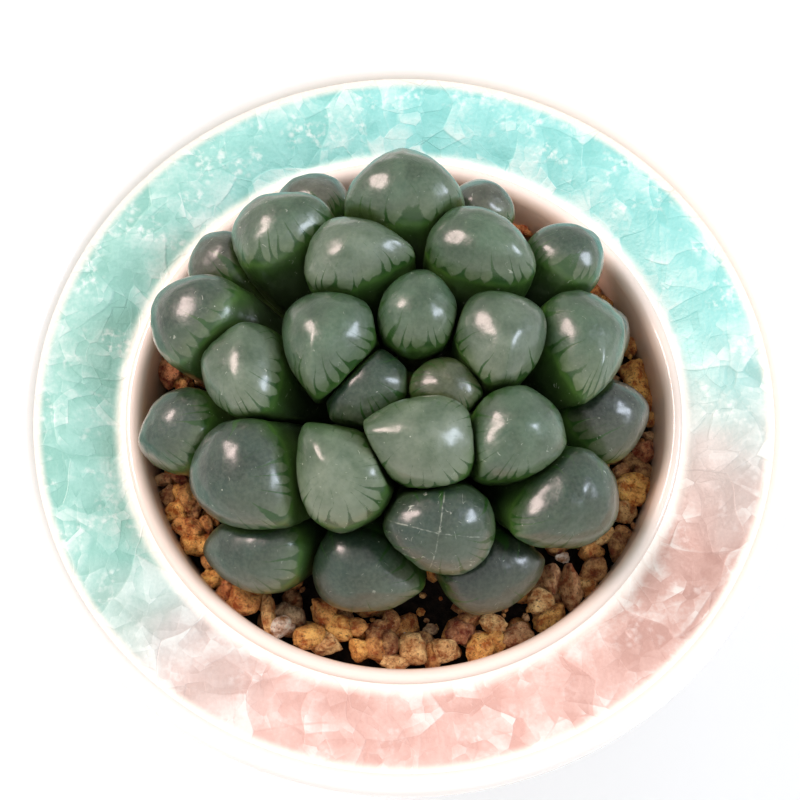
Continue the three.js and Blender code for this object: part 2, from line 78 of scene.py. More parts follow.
def skin_faces(rings, sides, start=0, closed=False):
    """Faces of a skin over rings of points numbered ring by ring: each joins two neighbours on one ring to
    the same two on the next. A skin that isn't closed ends in fans to two more points, numbered last."""
    ring, side = np.meshgrid(np.arange(rings if closed else rings - 1), np.arange(sides), indexing="ij")
    upper, after = (ring + 1) % rings, (side + 1) % sides
    low, high = ring * sides, upper * sides
    walls = np.stack([low + side, low + after, high + after, high + side], -1).reshape(-1, 4) + start
    if closed:
        return [walls]
    side, after = side[0], after[0]
    foot, top = rings * sides, (rings - 1) * sides
    first = np.stack([np.full(sides, foot), after, side], -1)
    last = np.stack([top + side, top + after, np.full(sides, foot + 1)], -1)
    return [walls, first + start, last + start]


def new_piece(name, points, faces, material, crease=180, **along_with):
    """An object from whole arrays: points in millimetres, faces as arrays of three or four point numbers a
    row, and named vectors that go with the points for the material to read. An edge that bends by more than
    crease degrees stays sharp."""
    mesh = bpy.data.meshes.new(name)
    corners = np.concatenate([part.ravel() for part in faces])
    counts = np.concatenate([np.full(len(part), part.shape[1]) for part in faces])
    mesh.vertices.add(len(points))
    mesh.vertices.foreach_set("co", (points * MM).astype(np.float32).ravel())
    mesh.loops.add(len(corners))
    mesh.loops.foreach_set("vertex_index", corners.astype(np.int32))
    mesh.polygons.add(len(counts))
    mesh.polygons.foreach_set("loop_start", np.append(0, np.cumsum(counts)[:-1]).astype(np.int32))
    mesh.polygons.foreach_set("use_smooth", np.ones(len(counts), bool))
    mesh.update(calc_edges=True)
    for label, values in along_with.items():
        layer = mesh.attributes.new(label, "FLOAT_VECTOR", "POINT")
        layer.data.foreach_set("vector", values.astype(np.float32).ravel())
    if crease < 180:
        mesh.set_sharp_from_angle(angle=math.radians(crease))
    mesh.materials.append(material)
    piece = bpy.data.objects.new(name, mesh)
    bpy.context.scene.collection.objects.link(piece)
    return piece


def linear(hex_colour):
    """An sRGB colour such as "F4E8DF" as the linear red, green, blue and alpha that the shaders take."""
    parts = np.array([int(hex_colour[i : i + 2], 16) for i in (0, 2, 4)]) / 255
    parts = np.where(parts <= 0.04045, parts / 12.92, ((parts + 0.055) / 1.055) ** 2.4)
    return (*parts.tolist(), 1.0)


def plug(value, socket):
    """Feeds a socket with a node's first output in use, an output, a hex colour, or a number or vector."""
    if isinstance(value, bpy.types.Node):
        value = next(output for output in value.outputs if output.enabled)
    if isinstance(value, bpy.types.NodeSocket):
        socket.id_data.links.new(value, socket)
    else:
        socket.default_value = linear(value) if isinstance(value, str) else value


def add_node(tree, kind, *values, stops=(), **named):
    """Adds a shader node. values feed its sockets in use, in their order. Among the named, a capital starts
    the name of a socket and a small letter that of a setting. stops are a ramp's places and colours. A Mix
    always mixes colours."""
    node = tree.nodes.new("ShaderNode" + kind)
    if kind == "Mix":
        node.data_type = "RGBA"
    for name, value in named.items():
        if name[0].islower():
            setattr(node, name, value)
    for number, (position, colour) in enumerate(stops):
        if number >= len(node.color_ramp.elements):
            node.color_ramp.elements.new(1.0)
        node.color_ramp.elements[number].position = position
        node.color_ramp.elements[number].color = linear(colour)
    in_use = [socket for socket in node.inputs if socket.enabled]
    for value, socket in zip(values, in_use):
        plug(value, socket)
    for name, value in named.items():
        if name[0].isupper():
            plug(value, next(socket for socket in in_use if socket.name == name))
    return node


def feed(shader, **sockets):
    """Feeds the shader's sockets that are named here, with low lines for spaces."""
    for name, value in sockets.items():
        plug(value, shader.inputs[name.replace("_", " ")])


def new_material(name, **sockets):
    """A material, its Principled shader, whose sockets named here take one value all over, and the function
    that adds its other nodes."""
    material = bpy.data.materials.new(name)
    material.use_nodes = True
    shader = material.node_tree.nodes["Principled BSDF"]
    feed(shader, **sockets)
    return material, shader, functools.partial(add_node, material.node_tree)


def in_millimetres(add):
    """Where a point of the piece is, in millimetres."""
    return add("VectorMath", add("TexCoord").outputs["Object"], 1 / MM, operation="SCALE")


def about_axis(add, place):
    """The parts of a place, the place seen from above, and its distance from the pot's axis."""
    axes = add("SeparateXYZ", place)
    flat = add("CombineXYZ", axes.outputs["X"], axes.outputs["Y"])
    return axes, flat, add("VectorMath", flat, operation="LENGTH").outputs["Value"]


def glazed_porcelain():
    """Clear feldspar glaze over white porcelain: warm white, wet-looking, with slow waves in the glaze, a
    cream tinge inside the lips that is partly painted light and shade, a soil bloom with painted shade on the
    inside wall and a bare matt foot. The radius and height in millimetres say where."""
    material, shader, add = new_material(
        "glazed_porcelain",
        IOR=1.5,
        Coat_Weight=0.5,
        Coat_Roughness=0.06,
        Subsurface_Weight=0.4,
        Subsurface_Radius=(1.0, 0.95, 0.9),
        Subsurface_Scale=3 * MM,
    )
    place = in_millimetres(add)
    axes, _, radius = about_axis(add, place)
    height = axes.outputs["Z"]
    cloud = add("TexNoise", Vector=place, Scale=0.08, Detail=3.0)
    body = add("Mix", cloud, "DAD5CE", "E4E0DA")
    lips = add("Mix", cloud, "F0ECE8", "F6F4F1")
    # the brim and both lips are whiter than the bowl
    above = add("MapRange", height, 44.0, 48.5, interpolation_type="SMOOTHSTEP")
    body = add("Mix", above, body, lips)
    # the outer lip's inner slope, then the lip round the opening and the wall below it: cream where glaze
    # pools thick, and partly painted warm bounce light on the outer slope and painted shade down the inside
    # wall
    outer = add("MapRange", radius, 43.6, 42.4, 0.0, 0.7, interpolation_type="SMOOTHSTEP")
    high = add("MapRange", height, 49.0, 50.4)
    outer = add("Math", outer, high, operation="MULTIPLY")
    body = add("Mix", outer, body, LIP_CREAM)
    inner = add("MapRange", radius, 33.4, 32.4, interpolation_type="SMOOTHSTEP")
    low = add("MapRange", height, 40.0, 46.0)
    crown = add("MapRange", height, 48.3, 49.1, 1.0, 0.7)
    for share in (low, crown):
        inner = add("Math", inner, share, operation="MULTIPLY")
    body = add("Mix", inner, body, "F0D8C8")
    # the inside wall just above the grit: partly a thin tan bloom left by wet soil, partly painted shade that
    # deepens down towards the grit. The outside is as narrow as that only below 20 mm, so the height keeps it
    # clean.
    stain_and_shade = add("TexNoise", Vector=place, Scale=0.5, Detail=4.0)
    inside = add("MapRange", radius, 31.2, 30.6)
    deep = add("MapRange", height, 47.4, 43.6, 0.0, 1.3)
    within = add("MapRange", height, 30.0, 34.0)
    for share in (inside, within, deep):
        stain_and_shade = add("Math", stain_and_shade, share, operation="MULTIPLY")
    body = add("Mix", stain_and_shade, body, "C9A485")
    # the foot's ring stands bare, so that the pot doesn't fuse to the kiln shelf
    bare = add("MapRange", height, 0.7, 0.4)
    grain = add("TexNoise", Vector=place, Scale=5.0, Detail=3.0)
    biscuit = add("Mix", grain, "D8CBBB", "EFE6DA")
    body = add("Mix", bare, body, biscuit)
    gloss = add("MapRange", bare, 0.0, 1.0, 0.16, 0.8)
    wave = add("TexNoise", Vector=place, Scale=0.22, Detail=2.0)
    pitted = add("Math", grain, bare, operation="MULTIPLY")
    relief = add("Math", pitted, 0.15, wave, operation="MULTIPLY_ADD")
    bump = add("Bump", Strength=0.6, Distance=0.1 * MM, Height=relief)
    feed(shader, Base_Color=body, Roughness=gloss, Normal=bump)
    return material


pot_path = along(
    # from the drain hole out under the floor, and down round the foot
    [[DRAIN_RADIUS, 2.4], [17.6, 2.4]],
    curve([17.75, 2.3], [18.1, 1.1], [18.5, 0.15], steps=4),
    curve([18.5, 0.15], [18.6, 0], [18.9, 0], steps=3),
    curve([21.5, 0], [21.9, 0], [22, 0.3], steps=3),
    # up the bowl and out under the brim
    curve([22.4, 2.4], [27, 5.5], [33.6, 16], [34.6, 30], steps=30),
    [[34.8, 40]],
    curve([34.8, 40], [35.2, 43.4], [38, 45.6], steps=10),
    [[43.8, 49.4]],
    # over the thick outer lip, through the channel and over the thin lip
    curve([43.8, 49.4], [45.4, 50.4], [45.4, 52.6], [43.8, 52.6], steps=20),
    curve([43.8, 52.6], [43.1, 52.35], [42.3, 51.2], steps=10),
    [[42, 50], [32.9, 47.2], [32.6, 48.4]],
    curve([32.6, 48.4], [32.5, 49.5], [30.9, 49.45], [OPENING_RADIUS, OPENING_HEIGHT], steps=18),
    # down the inside wall and back to the drain hole
    [[29.9, 44], [26.6, 14]],
    curve([26.6, 14], [25.6, 7], [17, 7], steps=12),
    [[4.8, 7]],
    curve([4.8, 7], [DRAIN_RADIUS, 7], [DRAIN_RADIUS, 6.7], steps=3),
    [[DRAIN_RADIUS, 2.6]],
)
pot = new_piece(
    "porcelain_pot",
    turned(pot_path, POT_TURNS).reshape(-1, 3),
    skin_faces(len(pot_path), POT_TURNS, closed=True),
    glazed_porcelain(),
    crease=42,
)
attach(pot, "root")
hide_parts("pot")


# Crackle glass ring
# Broken coloured glass, turquoise and rose, heaped in the brim's channel and melted in the kiln into one
# thick ring. It fused to both lips, its top fire-polished smooth, and it crazed all through as it cooled.
GLASS_TURNS = 256
GLASS_CROWN = 0.3
TURQUOISE = "8ED2CE"
SEA_GREEN = "97C9BE"
SEAM = "C2C3BF"
ROSE = "D6B3A9"
DUSK = "BA9A90"
# Which glass lies where, by the share of a turn from the back leftwards, with pale seams between.
BATCHES = [
    (0.0, TURQUOISE),
    (0.15, SEA_GREEN),
    (0.33, SEA_GREEN),
    (0.38, SEAM),
    (0.43, ROSE),
    (0.57, ROSE),
    (0.64, DUSK),
    (0.68, DUSK),
    (0.725, SEAM),
    (0.785, TURQUOISE),
    (1.0, TURQUOISE),
]
# Plates between the cracks, in three sizes: width in millimetres, how steeply they lean, and the shift that
# sets one pattern apart from the next.
PLATES = [(7.5, 0.75, 0.0), (3.8, 0.58, 40.0), (1.9, 0.42, 80.0)]


def crackle_glass():
    """Crazed soda-lime glass under a polished top. Cracks cut it into plates that lean this way and that, so
    light falls off softly across each. Cloud, frost and clusters of white flakes lie in it."""
    material, shader, add = new_material("crackle_glass", IOR=1.5, Coat_Weight=0.25, Coat_Roughness=0.28)
    place = in_millimetres(add)
    axes, flat, radius = about_axis(add, place)

    # the batch of glass, with edges that drift
    drift = add("TexNoise", Vector=flat, Scale=0.09, Detail=3.0, noise_dimensions="2D")
    turn = add("Math", axes.outputs["Y"], axes.outputs["X"], operation="ARCTAN2")
    turn = add("Math", turn, 1 / (2 * math.pi), -0.275, operation="MULTIPLY_ADD")
    turn = add("Math", drift, 0.05, turn, operation="MULTIPLY_ADD")
    turn = add("Math", turn, operation="FRACT")
    batch = add("ValToRGB", turn, stops=BATCHES).outputs["Color"]

    # bending the space that the plates stand in makes the cracks curve like shells
    bend = add("TexNoise", Vector=flat, Scale=0.12, Detail=1.0, noise_dimensions="2D")
    bent = add("VectorMath", bend.outputs["Color"], (0.5, 0.5, 0.5), operation="SUBTRACT")
    bent = add("VectorMath", bent, (3.5, 3.5, 0.0), flat, operation="MULTIPLY_ADD")
    patch = add("TexNoise", Vector=flat, Scale=0.17, Detail=1.0, noise_dimensions="2D")
    busy = add("MapRange", patch, 0.38, 0.62, 0.4, 1.4)
    light = add("Value")
    light.outputs[0].default_value = 0.5
    for across, steepness, shift in PLATES:
        # the third part of the offset doesn't move the plates: it gives each a lightness of its own
        moved = add("VectorMath", bent, (shift, shift, 0.2 * across), operation="ADD")
        cells = add(
            "TexVoronoi",
            Vector=moved,
            Scale=1 / across,
            Smoothness=0.06,
            voronoi_dimensions="2D",
            feature="SMOOTH_F1",
        )
        away = add("VectorMath", moved, cells.outputs["Position"], operation="SUBTRACT")
        facing = add("VectorMath", cells.outputs["Color"], (0.5, 0.5, 0.5), operation="SUBTRACT")
        slope = add("VectorMath", away, facing, operation="DOT_PRODUCT").outputs["Value"]
        slope = add("Math", slope, 2.0 * steepness / across, operation="MULTIPLY")
        if shift:
            slope = add("Math", slope, busy, operation="MULTIPLY")
        light = add("Math", slope, light, operation="ADD")
    cloud = add("TexNoise", Vector=bent, Scale=0.35, Detail=4.0, noise_dimensions="2D")
    frost = add("TexNoise", Vector=flat, Scale=2.2, Detail=3.0, noise_dimensions="2D")
    haze = add("Math", frost, 0.45, cloud, operation="MULTIPLY_ADD")
    haze = add("Math", haze, 0.72, operation="SUBTRACT")
    light = add("Math", haze, 0.9, light, operation="MULTIPLY_ADD")
    by_outer_lip = add("MapRange", radius, 39.5, 42.0, 0.0, 0.25)
    by_inner_lip = add("MapRange", radius, 36.6, 33.2, 0.0, 0.42)
    for paler in (by_outer_lip, by_inner_lip):
        light = add("Math", light, paler, operation="ADD")

    # from the full colour of thick glass, through the batch's own, to near white
    deep = add("Mix", 0.4, batch, batch, blend_type="MULTIPLY")
    pale = add("Mix", 0.55, batch, "E4EFEB")
    lower = add("MapRange", light, -0.05, 0.5)
    upper = add("MapRange", light, 0.5, 1.15)
    colour = add("Mix", lower, deep, batch)
    colour = add("Mix", upper, colour, pale)

    # here and there a crack comes near the top and shows as a fine shaded line
    where = add("TexNoise", Vector=flat, Scale=0.24, Detail=2.0, noise_dimensions="2D")
    crack = add(
        "TexVoronoi",
        Vector=bent,
        Scale=1 / PLATES[0][0],
        voronoi_dimensions="2D",
        feature="DISTANCE_TO_EDGE",
    )
    crack = add("MapRange", crack, 0.0, 0.02, 1.0, 0.0)
    shaded = add("MapRange", where, 0.52, 0.42, 0.0, 0.5)
    shaded = add("Math", crack, shaded, operation="MULTIPLY")
    colour = add("Mix", shaded, colour, deep)

    # soft white flakes 0.3 to 1 mm across, in clusters, more of them by the outer lip and few in the rose
    outward = add("MapRange", radius, 36.5, 41.0, 0.0, 0.07)
    cluster = add("VectorMath", flat, (90.0, 30.0, 0.0), operation="ADD")
    cluster = add("TexNoise", Vector=cluster, Scale=0.22, Detail=2.0, noise_dimensions="2D")
    cluster = add("Math", cluster, outward, operation="ADD")
    cluster = add("MapRange", cluster, 0.54, 0.7, 0.0, 0.6)
    redness = add("SeparateColor", batch).outputs["Red"]
    fewer = add("MapRange", redness, 0.27, 0.5, 1.0, 0.4)
    cluster = add("Math", cluster, fewer, operation="MULTIPLY")
    flake = add("TexNoise", Vector=flat, Scale=1.15, Detail=4.0, noise_dimensions="2D")
    flake = add("MapRange", flake, 0.46, 0.76, interpolation_type="SMOOTHSTEP")
    dots = add("TexVoronoi", Vector=flat, Scale=0.8, voronoi_dimensions="2D")
    chosen = add("SeparateXYZ", dots.outputs["Color"])
    chosen = add("MapRange", chosen.outputs["X"], 0.6, 0.8, 0.0, 0.9)
    dot = add("MapRange", dots.outputs["Distance"], 0.05, 0.42, 1.0, 0.0, interpolation_type="SMOOTHSTEP")
    dot = add("Math", dot, chosen, operation="MULTIPLY")
    flake = add("Math", flake, dot, operation="MAXIMUM")
    flake = add("Math", flake, cluster, operation="MULTIPLY")
    colour = add("Mix", flake, colour, "F0F4F1")

    # at either lip the glass thins out over cream porcelain
    outer = add("MapRange", radius, 41.3, 42.5, interpolation_type="SMOOTHSTEP")
    inner = add("MapRange", radius, 34.2, 32.5, interpolation_type="SMOOTHSTEP")
    thin = add("Math", outer, inner, operation="MAXIMUM")
    colour = add("Mix", thin, colour, LIP_CREAM)

    bump = add("Bump", Strength=0.3, Distance=0.5 * MM, Height=light)
    rough = add("MapRange", cloud, 0.0, 1.0, 0.32, 0.5)
    feed(shader, Base_Color=colour, Roughness=rough, Normal=bump)
    return material


glass_path = along(
    [[32.93, 47.3], [41.96, 50.08], [42.35, 51.2]],
    curve([42.85, 51.75], [42.2, 51.25], [41.0, 51.03], steps=8),
    curve([41.0, 51.03], [37.4, 50 + 2 * GLASS_CROWN], [33.8, 48.78], steps=22),
    curve([33.8, 48.78], [32.75, 48.6], [32.05, 49.04], steps=8),
    [[32.7, 48.3]],
)
glass_ring = new_piece(
    "crazed_glass_ring",
    turned(glass_path, GLASS_TURNS).reshape(-1, 3),
    skin_faces(len(glass_path), GLASS_TURNS, closed=True),
    crackle_glass(),
    crease=50,
)
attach(glass_ring, "root")
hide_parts("crackle_glass_ring")


# Potting soil
# Dark peat and bark fines, pressed into the pot by hand up to 8 mm under the thin lip. It shows only in
# the pits between the stones at the front, and through the drain hole.
SOIL_FLOOR = 7.3
SOIL_HEIGHT = 41.6
SOIL_TURNS = 160
SOIL_SEED = 11


def ripples(points, wavelength, seed, waves=14):
    """Smooth uneven height with a spread of 1: sine waves of one length in random directions, added up."""
    random = np.random.default_rng(seed)
    ways = random.normal(size=(waves, 3))
    ways *= 2 * np.pi / wavelength / np.linalg.norm(ways, axis=1, keepdims=True)
    phases = random.uniform(0, 2 * np.pi, waves)
    return np.sin(points @ ways.T + phases).sum(-1) * math.sqrt(2 / waves)


def peat_soil():
    """Moist peat: almost black brown, dull, in crumbs of about a millimetre, with lighter fibres."""
    material, shader, add = new_material("peat_soil", Roughness=0.92, Specular_IOR_Level=0.25)
    place = in_millimetres(add)
    crumbs = add("TexVoronoi", Vector=place, Scale=1.1)
    fibre = add("TexNoise", Vector=place, Scale=1.6, Detail=6.0, Roughness=0.7)
    shade = add("Math", crumbs.outputs["Distance"], fibre, operation="MULTIPLY")
    browns = [(0.0, "0F0A08"), (0.3, "241A14"), (0.55, "3A2A1E"), (0.8, "6A4F38")]
    colour = add("ValToRGB", shade, stops=browns)
    bump = add("Bump", Strength=1.0, Distance=0.6 * MM, Height=fibre)
    feed(shader, Base_Color=colour, Normal=bump)
    return material


soil_path = along(
    curve([0.3, SOIL_FLOOR], [16.6, SOIL_FLOOR], steps=10),
    curve([16.6, SOIL_FLOOR], [24.6, 8.4], [26, 15], steps=8),
    curve([26, 15], [29.5, 41.2], steps=16),
    curve([29.5, 41.2], [0.3, SOIL_HEIGHT], steps=60),
)
soil_points = turned(soil_path, SOIL_TURNS)
# crumbs raise and lower the top by up to 0.7 mm, and fade out a millimetre below it
soil_top = np.clip((soil_points[..., 2] - SOIL_HEIGHT + 1) / 0.6, 0, 1)
crumbs = 0.35 * ripples(soil_points, 4.0, SOIL_SEED) + 0.25 * ripples(soil_points, 1.6, SOIL_SEED + 1)
soil_points[..., 2] += soil_top * np.clip(crumbs, -0.6, 0.7)
soil_ends = np.array([[0, 0, SOIL_FLOOR], [0, 0, SOIL_HEIGHT]])
soil = new_piece(
    "peat_filling",
    np.vstack([soil_points.reshape(-1, 3), soil_ends]),
    skin_faces(len(soil_path), SOIL_TURNS),
    peat_soil(),
)
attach(soil, "root")
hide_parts("potting_soil")


# Grit top dressing
# A layer of fired clay grit in gold, amber and brown, 1 to 5 mm across, poured round the stem and nudged
# flat. A few white and grey stones lie among the others, and fine grains fill the joints.
GRIT_TOP = 46.4
GRIT_TOP_UNDER_LEAVES = 45.2
GRIT_RADIUS = 30.4
# How much higher the open grit lies for each millimetre to the left.
GRIT_SLOPE = 0.022
GRIT_SEED = 2031
# A stone's planes: how many cut it, how far from its middle for a radius of 1, and how sharp its edges are.
STONE_CUTS = 14
STONE_CUT_AT = (0.76, 1.1)
STONE_SHARPNESS = 20
# How far a stone's skin may be from its middle, how uneven it is, and the most that a stone tilts in radians.
STONE_REACH = (0.7, 1.35)
STONE_UNEVEN = 0.045
STONE_TILT = 0.35
# How far the stones' colours are lifted above their own: painted light that makes up for the shade they lie
# in.
STONE_PAINTED_LIGHT = 1.42
# The height on which open stones lie, and a stone's half thickness for its half length and half width.
OPEN_BED = 43.3
STONE_THICKNESS = 0.45
# Throws for each of the stones that lie at random, before the rest of them are given up.
THROWS = 30
STONE_TONES = {
    "gold": "E4A848",
    "amber": "D08A38",
    "orange": "D07636",
    "rust": "B05E3A",
    "brown": "A56C38",
    "sand": "DFB374",
    "clay": "BC8A62",
    "grey": "8E7A68",
    "white": "E4DCD4",
}
# Stones in the open: x, y, half length, half width, which way the length points in degrees, and tone.
OPEN_STONES = [
    (-29, 6.5, 1.9, 1.2, 100, "rust"),
    (-27, 5, 1, 0.8, -20, "amber"),
    (-28.5, -7.5, 1.1, 0.6, 15, "clay"),
    (-26.5, -7, 1, 0.7, -30, "rust"),
    (-28, -9.5, 1.1, 0.8, 90, "brown"),
    (-26.5, -9, 1, 0.7, 90, "gold"),
    (-25, -9.5, 1.7, 1.1, 90, "amber"),
    (-27, -11.5, 1.2, 1.1, 0, "gold"),
    (-24.5, -11, 1, 0.9, 60, "brown"),
    (-25, -13.5, 1.8, 1.1, -10, "amber"),
    (-23, -13, 0.9, 0.7, 90, "amber"),
    (-24, -15.5, 1.6, 1.4, 0, "gold"),
    (-22, -17, 1, 1, 0, "amber"),
    (-22, -19.5, 1.2, 1, -40, "gold"),
    (-20.5, -20.5, 1, 0.9, 60, "orange"),
    (-18, -22, 1.9, 1.3, -20, "amber"),
    (-15.5, -23.5, 2, 0.6, 97, "sand"),
    (-14, -23, 1, 0.8, 45, "grey"),
    (-12.5, -23.5, 1.2, 1, 0, "grey"),
    (-14, -25, 1.2, 1, 0, "white"),
    (-11, -26, 1.7, 1.3, 20, "gold"),
    (-9, -27, 1.6, 1, -35, "sand"),
    (-9, -23, 1.7, 1.2, -35, "amber"),
    (-7.5, -25, 1.5, 1.1, -30, "gold"),
    (-5.5, -25, 1.2, 0.8, 0, "amber"),
    (-5, -27.5, 1.2, 1.1, 30, "gold"),
    (-3, -25.5, 1.2, 1.1, 0, "brown"),
    (-1.5, -24.5, 1.2, 0.9, 90, "brown"),
    (-3, -27.5, 1.2, 1.2, 0, "amber"),
    (-1.5, -27, 1.4, 1.1, 90, "brown"),
    (-1, -29, 1.4, 0.7, 0, "sand"),
    (1, -27.5, 1.7, 1.3, 90, "sand"),
    (3, -28, 1.3, 1, 90, "amber"),
    (4.5, -27.5, 1.6, 1.3, -20, "sand"),
    (6.5, -25.5, 1.4, 1.3, 40, "rust"),
    (7.5, -24, 1.2, 0.8, 20, "brown"),
    (8.5, -27.5, 1.4, 1.3, 40, "gold"),
    (10.5, -26.5, 1.1, 1.1, 0, "gold"),
    (10.5, -24.5, 1.4, 1, 0, "sand"),
    (13, -26, 1.6, 1.2, 25, "clay"),
    (15.5, -22, 1.4, 1.2, 60, "sand"),
    (16.5, -24, 1.9, 1.1, 30, "gold"),
    (17, -19, 1.8, 1, 95, "clay"),
    (19.5, -20.5, 2.1, 1, 100, "clay"),
    (21.5, -16, 1.4, 1, 25, "amber"),
    (22, -18.5, 1.6, 1.2, 30, "brown"),
    (21.5, -20, 1.2, 1.1, 0, "sand"),
    (25, -15.5, 1.4, 1.1, 80, "brown"),
    (25.5, -11, 1.5, 1.2, -30, "sand"),
    (25.5, -13.5, 1, 0.8, 0, "brown"),
    (27, -8.5, 1.7, 1.5, 0, "gold"),
    (29, -8.5, 1.6, 1.2, -70, "amber"),
    (28.5, -6, 1.1, 1, 0, "brown"),
    (28.5, -3.5, 1.3, 1.2, 40, "rust"),
    (29.5, 0.5, 0.9, 0.8, 0, "amber"),
    (29.8, 3, 1.1, 0.9, 90, "amber"),
    (28.9, 6.3, 2.5, 1.6, 102, "gold"),
    (27.6, 10.4, 1.2, 1, 110, "amber"),
    (27, 12.5, 0.8, 0.7, 90, "rust"),
    (25.5, 16, 1.3, 1, 0, "gold"),
    (25.5, 18.5, 1.4, 1, 100, "amber"),
    (15.5, 26.5, 1.1, 0.7, -20, "orange"),
    (-25, 17.5, 0.9, 0.7, 0, "amber"),
    (0, -25.5, 0.5, 0.5, 0, "white"),
    (3, -25, 0.7, 0.6, 0, "grey"),
    (18.5, -16.5, 0.7, 0.5, 0, "white"),
    (29.5, -1.5, 0.7, 0.6, 0, "clay"),
    (14.5, 27.5, 0.7, 0.5, 0, "orange"),
]
# Tones of the stones thrown at random, amber twice as often as any other.
COMMON_TONES = ["gold", "amber", "amber", "brown", "sand", "clay"]
# Pits where no stone covers the soil: x, y and radius.
SOIL_PITS = [(-10, -20.5, 2.2), (3.2, -23, 2.2), (12, -22.5, 1.4)]


def swung(points, angle, one, other):
    """Points turned by an angle from one of their axes towards another."""
    first, second = points[..., one], points[..., other]
    points = points.copy()
    points[..., one] = first * np.cos(angle) - second * np.sin(angle)
    points[..., other] = first * np.sin(angle) + second * np.cos(angle)
    return points


def stone_shells(places, sizes, turns, rings, sides, random):
    """Points of many stones at once, [stone, point, xyz]. A stone is a ball cut by random planes, worked out
    as r = (sum over planes of (way . normal / distance)^p)^(-1/p), where p says how sharp its edges are."""
    count = len(places)
    normals = random.normal(size=(count, STONE_CUTS, 3))
    normals /= np.linalg.norm(normals, axis=2, keepdims=True)
    distances = random.uniform(*STONE_CUT_AT, (count, STONE_CUTS))
    polar = np.linspace(0, np.pi, rings + 2)[1:-1]
    ways = turned(np.stack([np.sin(polar), -np.cos(polar)], -1), sides)
    ways = np.vstack([ways.reshape(-1, 3), [[0, 0, -1], [0, 0, 1]]])
    facing = np.clip(np.einsum("pk,cnk->cpn", ways, normals), 0, None) / distances[:, None, :]
    # the last part keeps a side that no plane cuts from running off
    reach = np.power(facing, STONE_SHARPNESS).sum(-1) + 0.35**STONE_SHARPNESS
    reach **= -1 / STONE_SHARPNESS
    rough = [ripples(ways * 1.4, 1.0, int(seed)) for seed in random.integers(1e6, size=count)]
    reach = np.clip(reach * (1 + STONE_UNEVEN * np.stack(rough)), *STONE_REACH)
    points = ways * reach[..., None] * sizes[:, None, :]
    tilt = random.uniform(-STONE_TILT, STONE_TILT, (count, 1))
    points = swung(swung(points, tilt, 0, 2), turns[:, None], 0, 1)
    return points + places[:, None, :]


def fired_clay_grit():
    """Baked clay grit: dull and porous, each stone in its own gold or brown, mottled darker with iron and
    lighter with clay dust, and pitted like a biscuit. The colour of a stone goes with its points."""
    material, shader, add = new_material("fired_clay_grit", Specular_IOR_Level=0.45)
    place = in_millimetres(add)
    own = add("Attribute", attribute_name="stone_colour").outputs["Color"]
    patch = add("TexNoise", Vector=place, Scale=0.9, Detail=4.0, Roughness=0.65)
    grain = add("TexNoise", Vector=place, Scale=3.2, Detail=5.0, Roughness=0.75)
    dark = add("Mix", 1.0, own, "AC7C54", blend_type="MULTIPLY")
    pale = add("Mix", 0.3, own, "FFD898")
    share = add("MapRange", patch, 0.38, 0.62)
    colour = add("Mix", share, dark, pale)
    speck = add("MapRange", grain, 0.36, 0.46, 0.8, 0.0)
    colour = add("Mix", speck, colour, "4E2F1C")
    # painted glints: pale specks that stand for light catching on the grains
    painted_glint = add("MapRange", grain, 0.6, 0.7, 0.0, 0.6)
    colour = add("Mix", painted_glint, colour, "F8E4C4")
    rough = add("MapRange", patch, 0.0, 1.0, 0.8, 0.42)
    relief = add("Math", grain, 0.5, patch, operation="MULTIPLY_ADD")
    bump = add("Bump", Strength=1.0, Distance=1 * MM, Height=relief)
    feed(shader, Base_Color=colour, Roughness=rough, Normal=bump)
    return material


def scattered(count, least, most, inner, outer, taken, apart, random):
    """Up to count places on a ring, each with a size, thrown at random and kept if they clear those taken."""
    kept = []
    for _ in range(count * THROWS):
        size = random.uniform(least, most)
        angle = random.uniform(0, 2 * np.pi)
        reach = math.sqrt(random.uniform(inner**2, (outer - size) ** 2))
        x, y = reach * math.cos(angle), reach * math.sin(angle)
        if all((x - a) ** 2 + (y - b) ** 2 > (apart * (size + c)) ** 2 for a, b, c in taken + kept):
            kept.append((x, y, size))
        if len(kept) == count:
            break
    return kept


stone_random = np.random.default_rng(GRIT_SEED)
grit_points = []
grit_faces = []
grit_colours = []


def pour(places, sizes, turns, tones, rings, sides, top):
    """Adds stones to the grit, each let down until its highest point is no higher than top, which is one
    height for all of them or one for each."""
    shells = stone_shells(places, sizes, turns, rings, sides, stone_random)
    shells[..., 2] += np.minimum(0, top - shells[..., 2].max(1))[:, None]
    reach = np.linalg.norm(shells[..., :2], axis=-1)
    inward = np.minimum(1, GRIT_RADIUS / reach.max(1))[:, None]
    shells[..., :2] *= inward[..., None]
    first = sum(len(points) for points in grit_points)
    for number in range(len(shells)):
        grit_faces.extend(skin_faces(rings, sides, start=first + number * (rings * sides + 2)))
    grit_points.append(shells.reshape(-1, 3))
    each = np.array([linear(STONE_TONES[tone])[:3] for tone in tones])
    # each stone's colour, lifted by painted light and varied at random
    each *= STONE_PAINTED_LIGHT * stone_random.uniform(0.8, 1.16, (len(each), 1))
    grit_colours.append(np.repeat(each, rings * sides + 2, axis=0))


open_x, open_y, open_long, open_wide, open_turn, open_tones = zip(*OPEN_STONES)
open_long, open_wide = np.array(open_long), np.array(open_wide)
open_thick = STONE_THICKNESS * (open_long + open_wide)
heaped = -GRIT_SLOPE * np.array(open_x)
# a stone starts a little larger than it is to be, because the planes cut into it
pour(
    np.stack([open_x, open_y, OPEN_BED + 0.75 * open_thick + heaped], -1),
    np.stack([1.1 * open_long, 1.12 * open_wide, open_thick], -1),
    np.radians(open_turn),
    open_tones,
    rings=16,
    sides=24,
    top=GRIT_TOP + heaped,
)
covered = [(x, y, 0.5 * (a + b)) for x, y, a, b, _, _ in OPEN_STONES] + SOIL_PITS
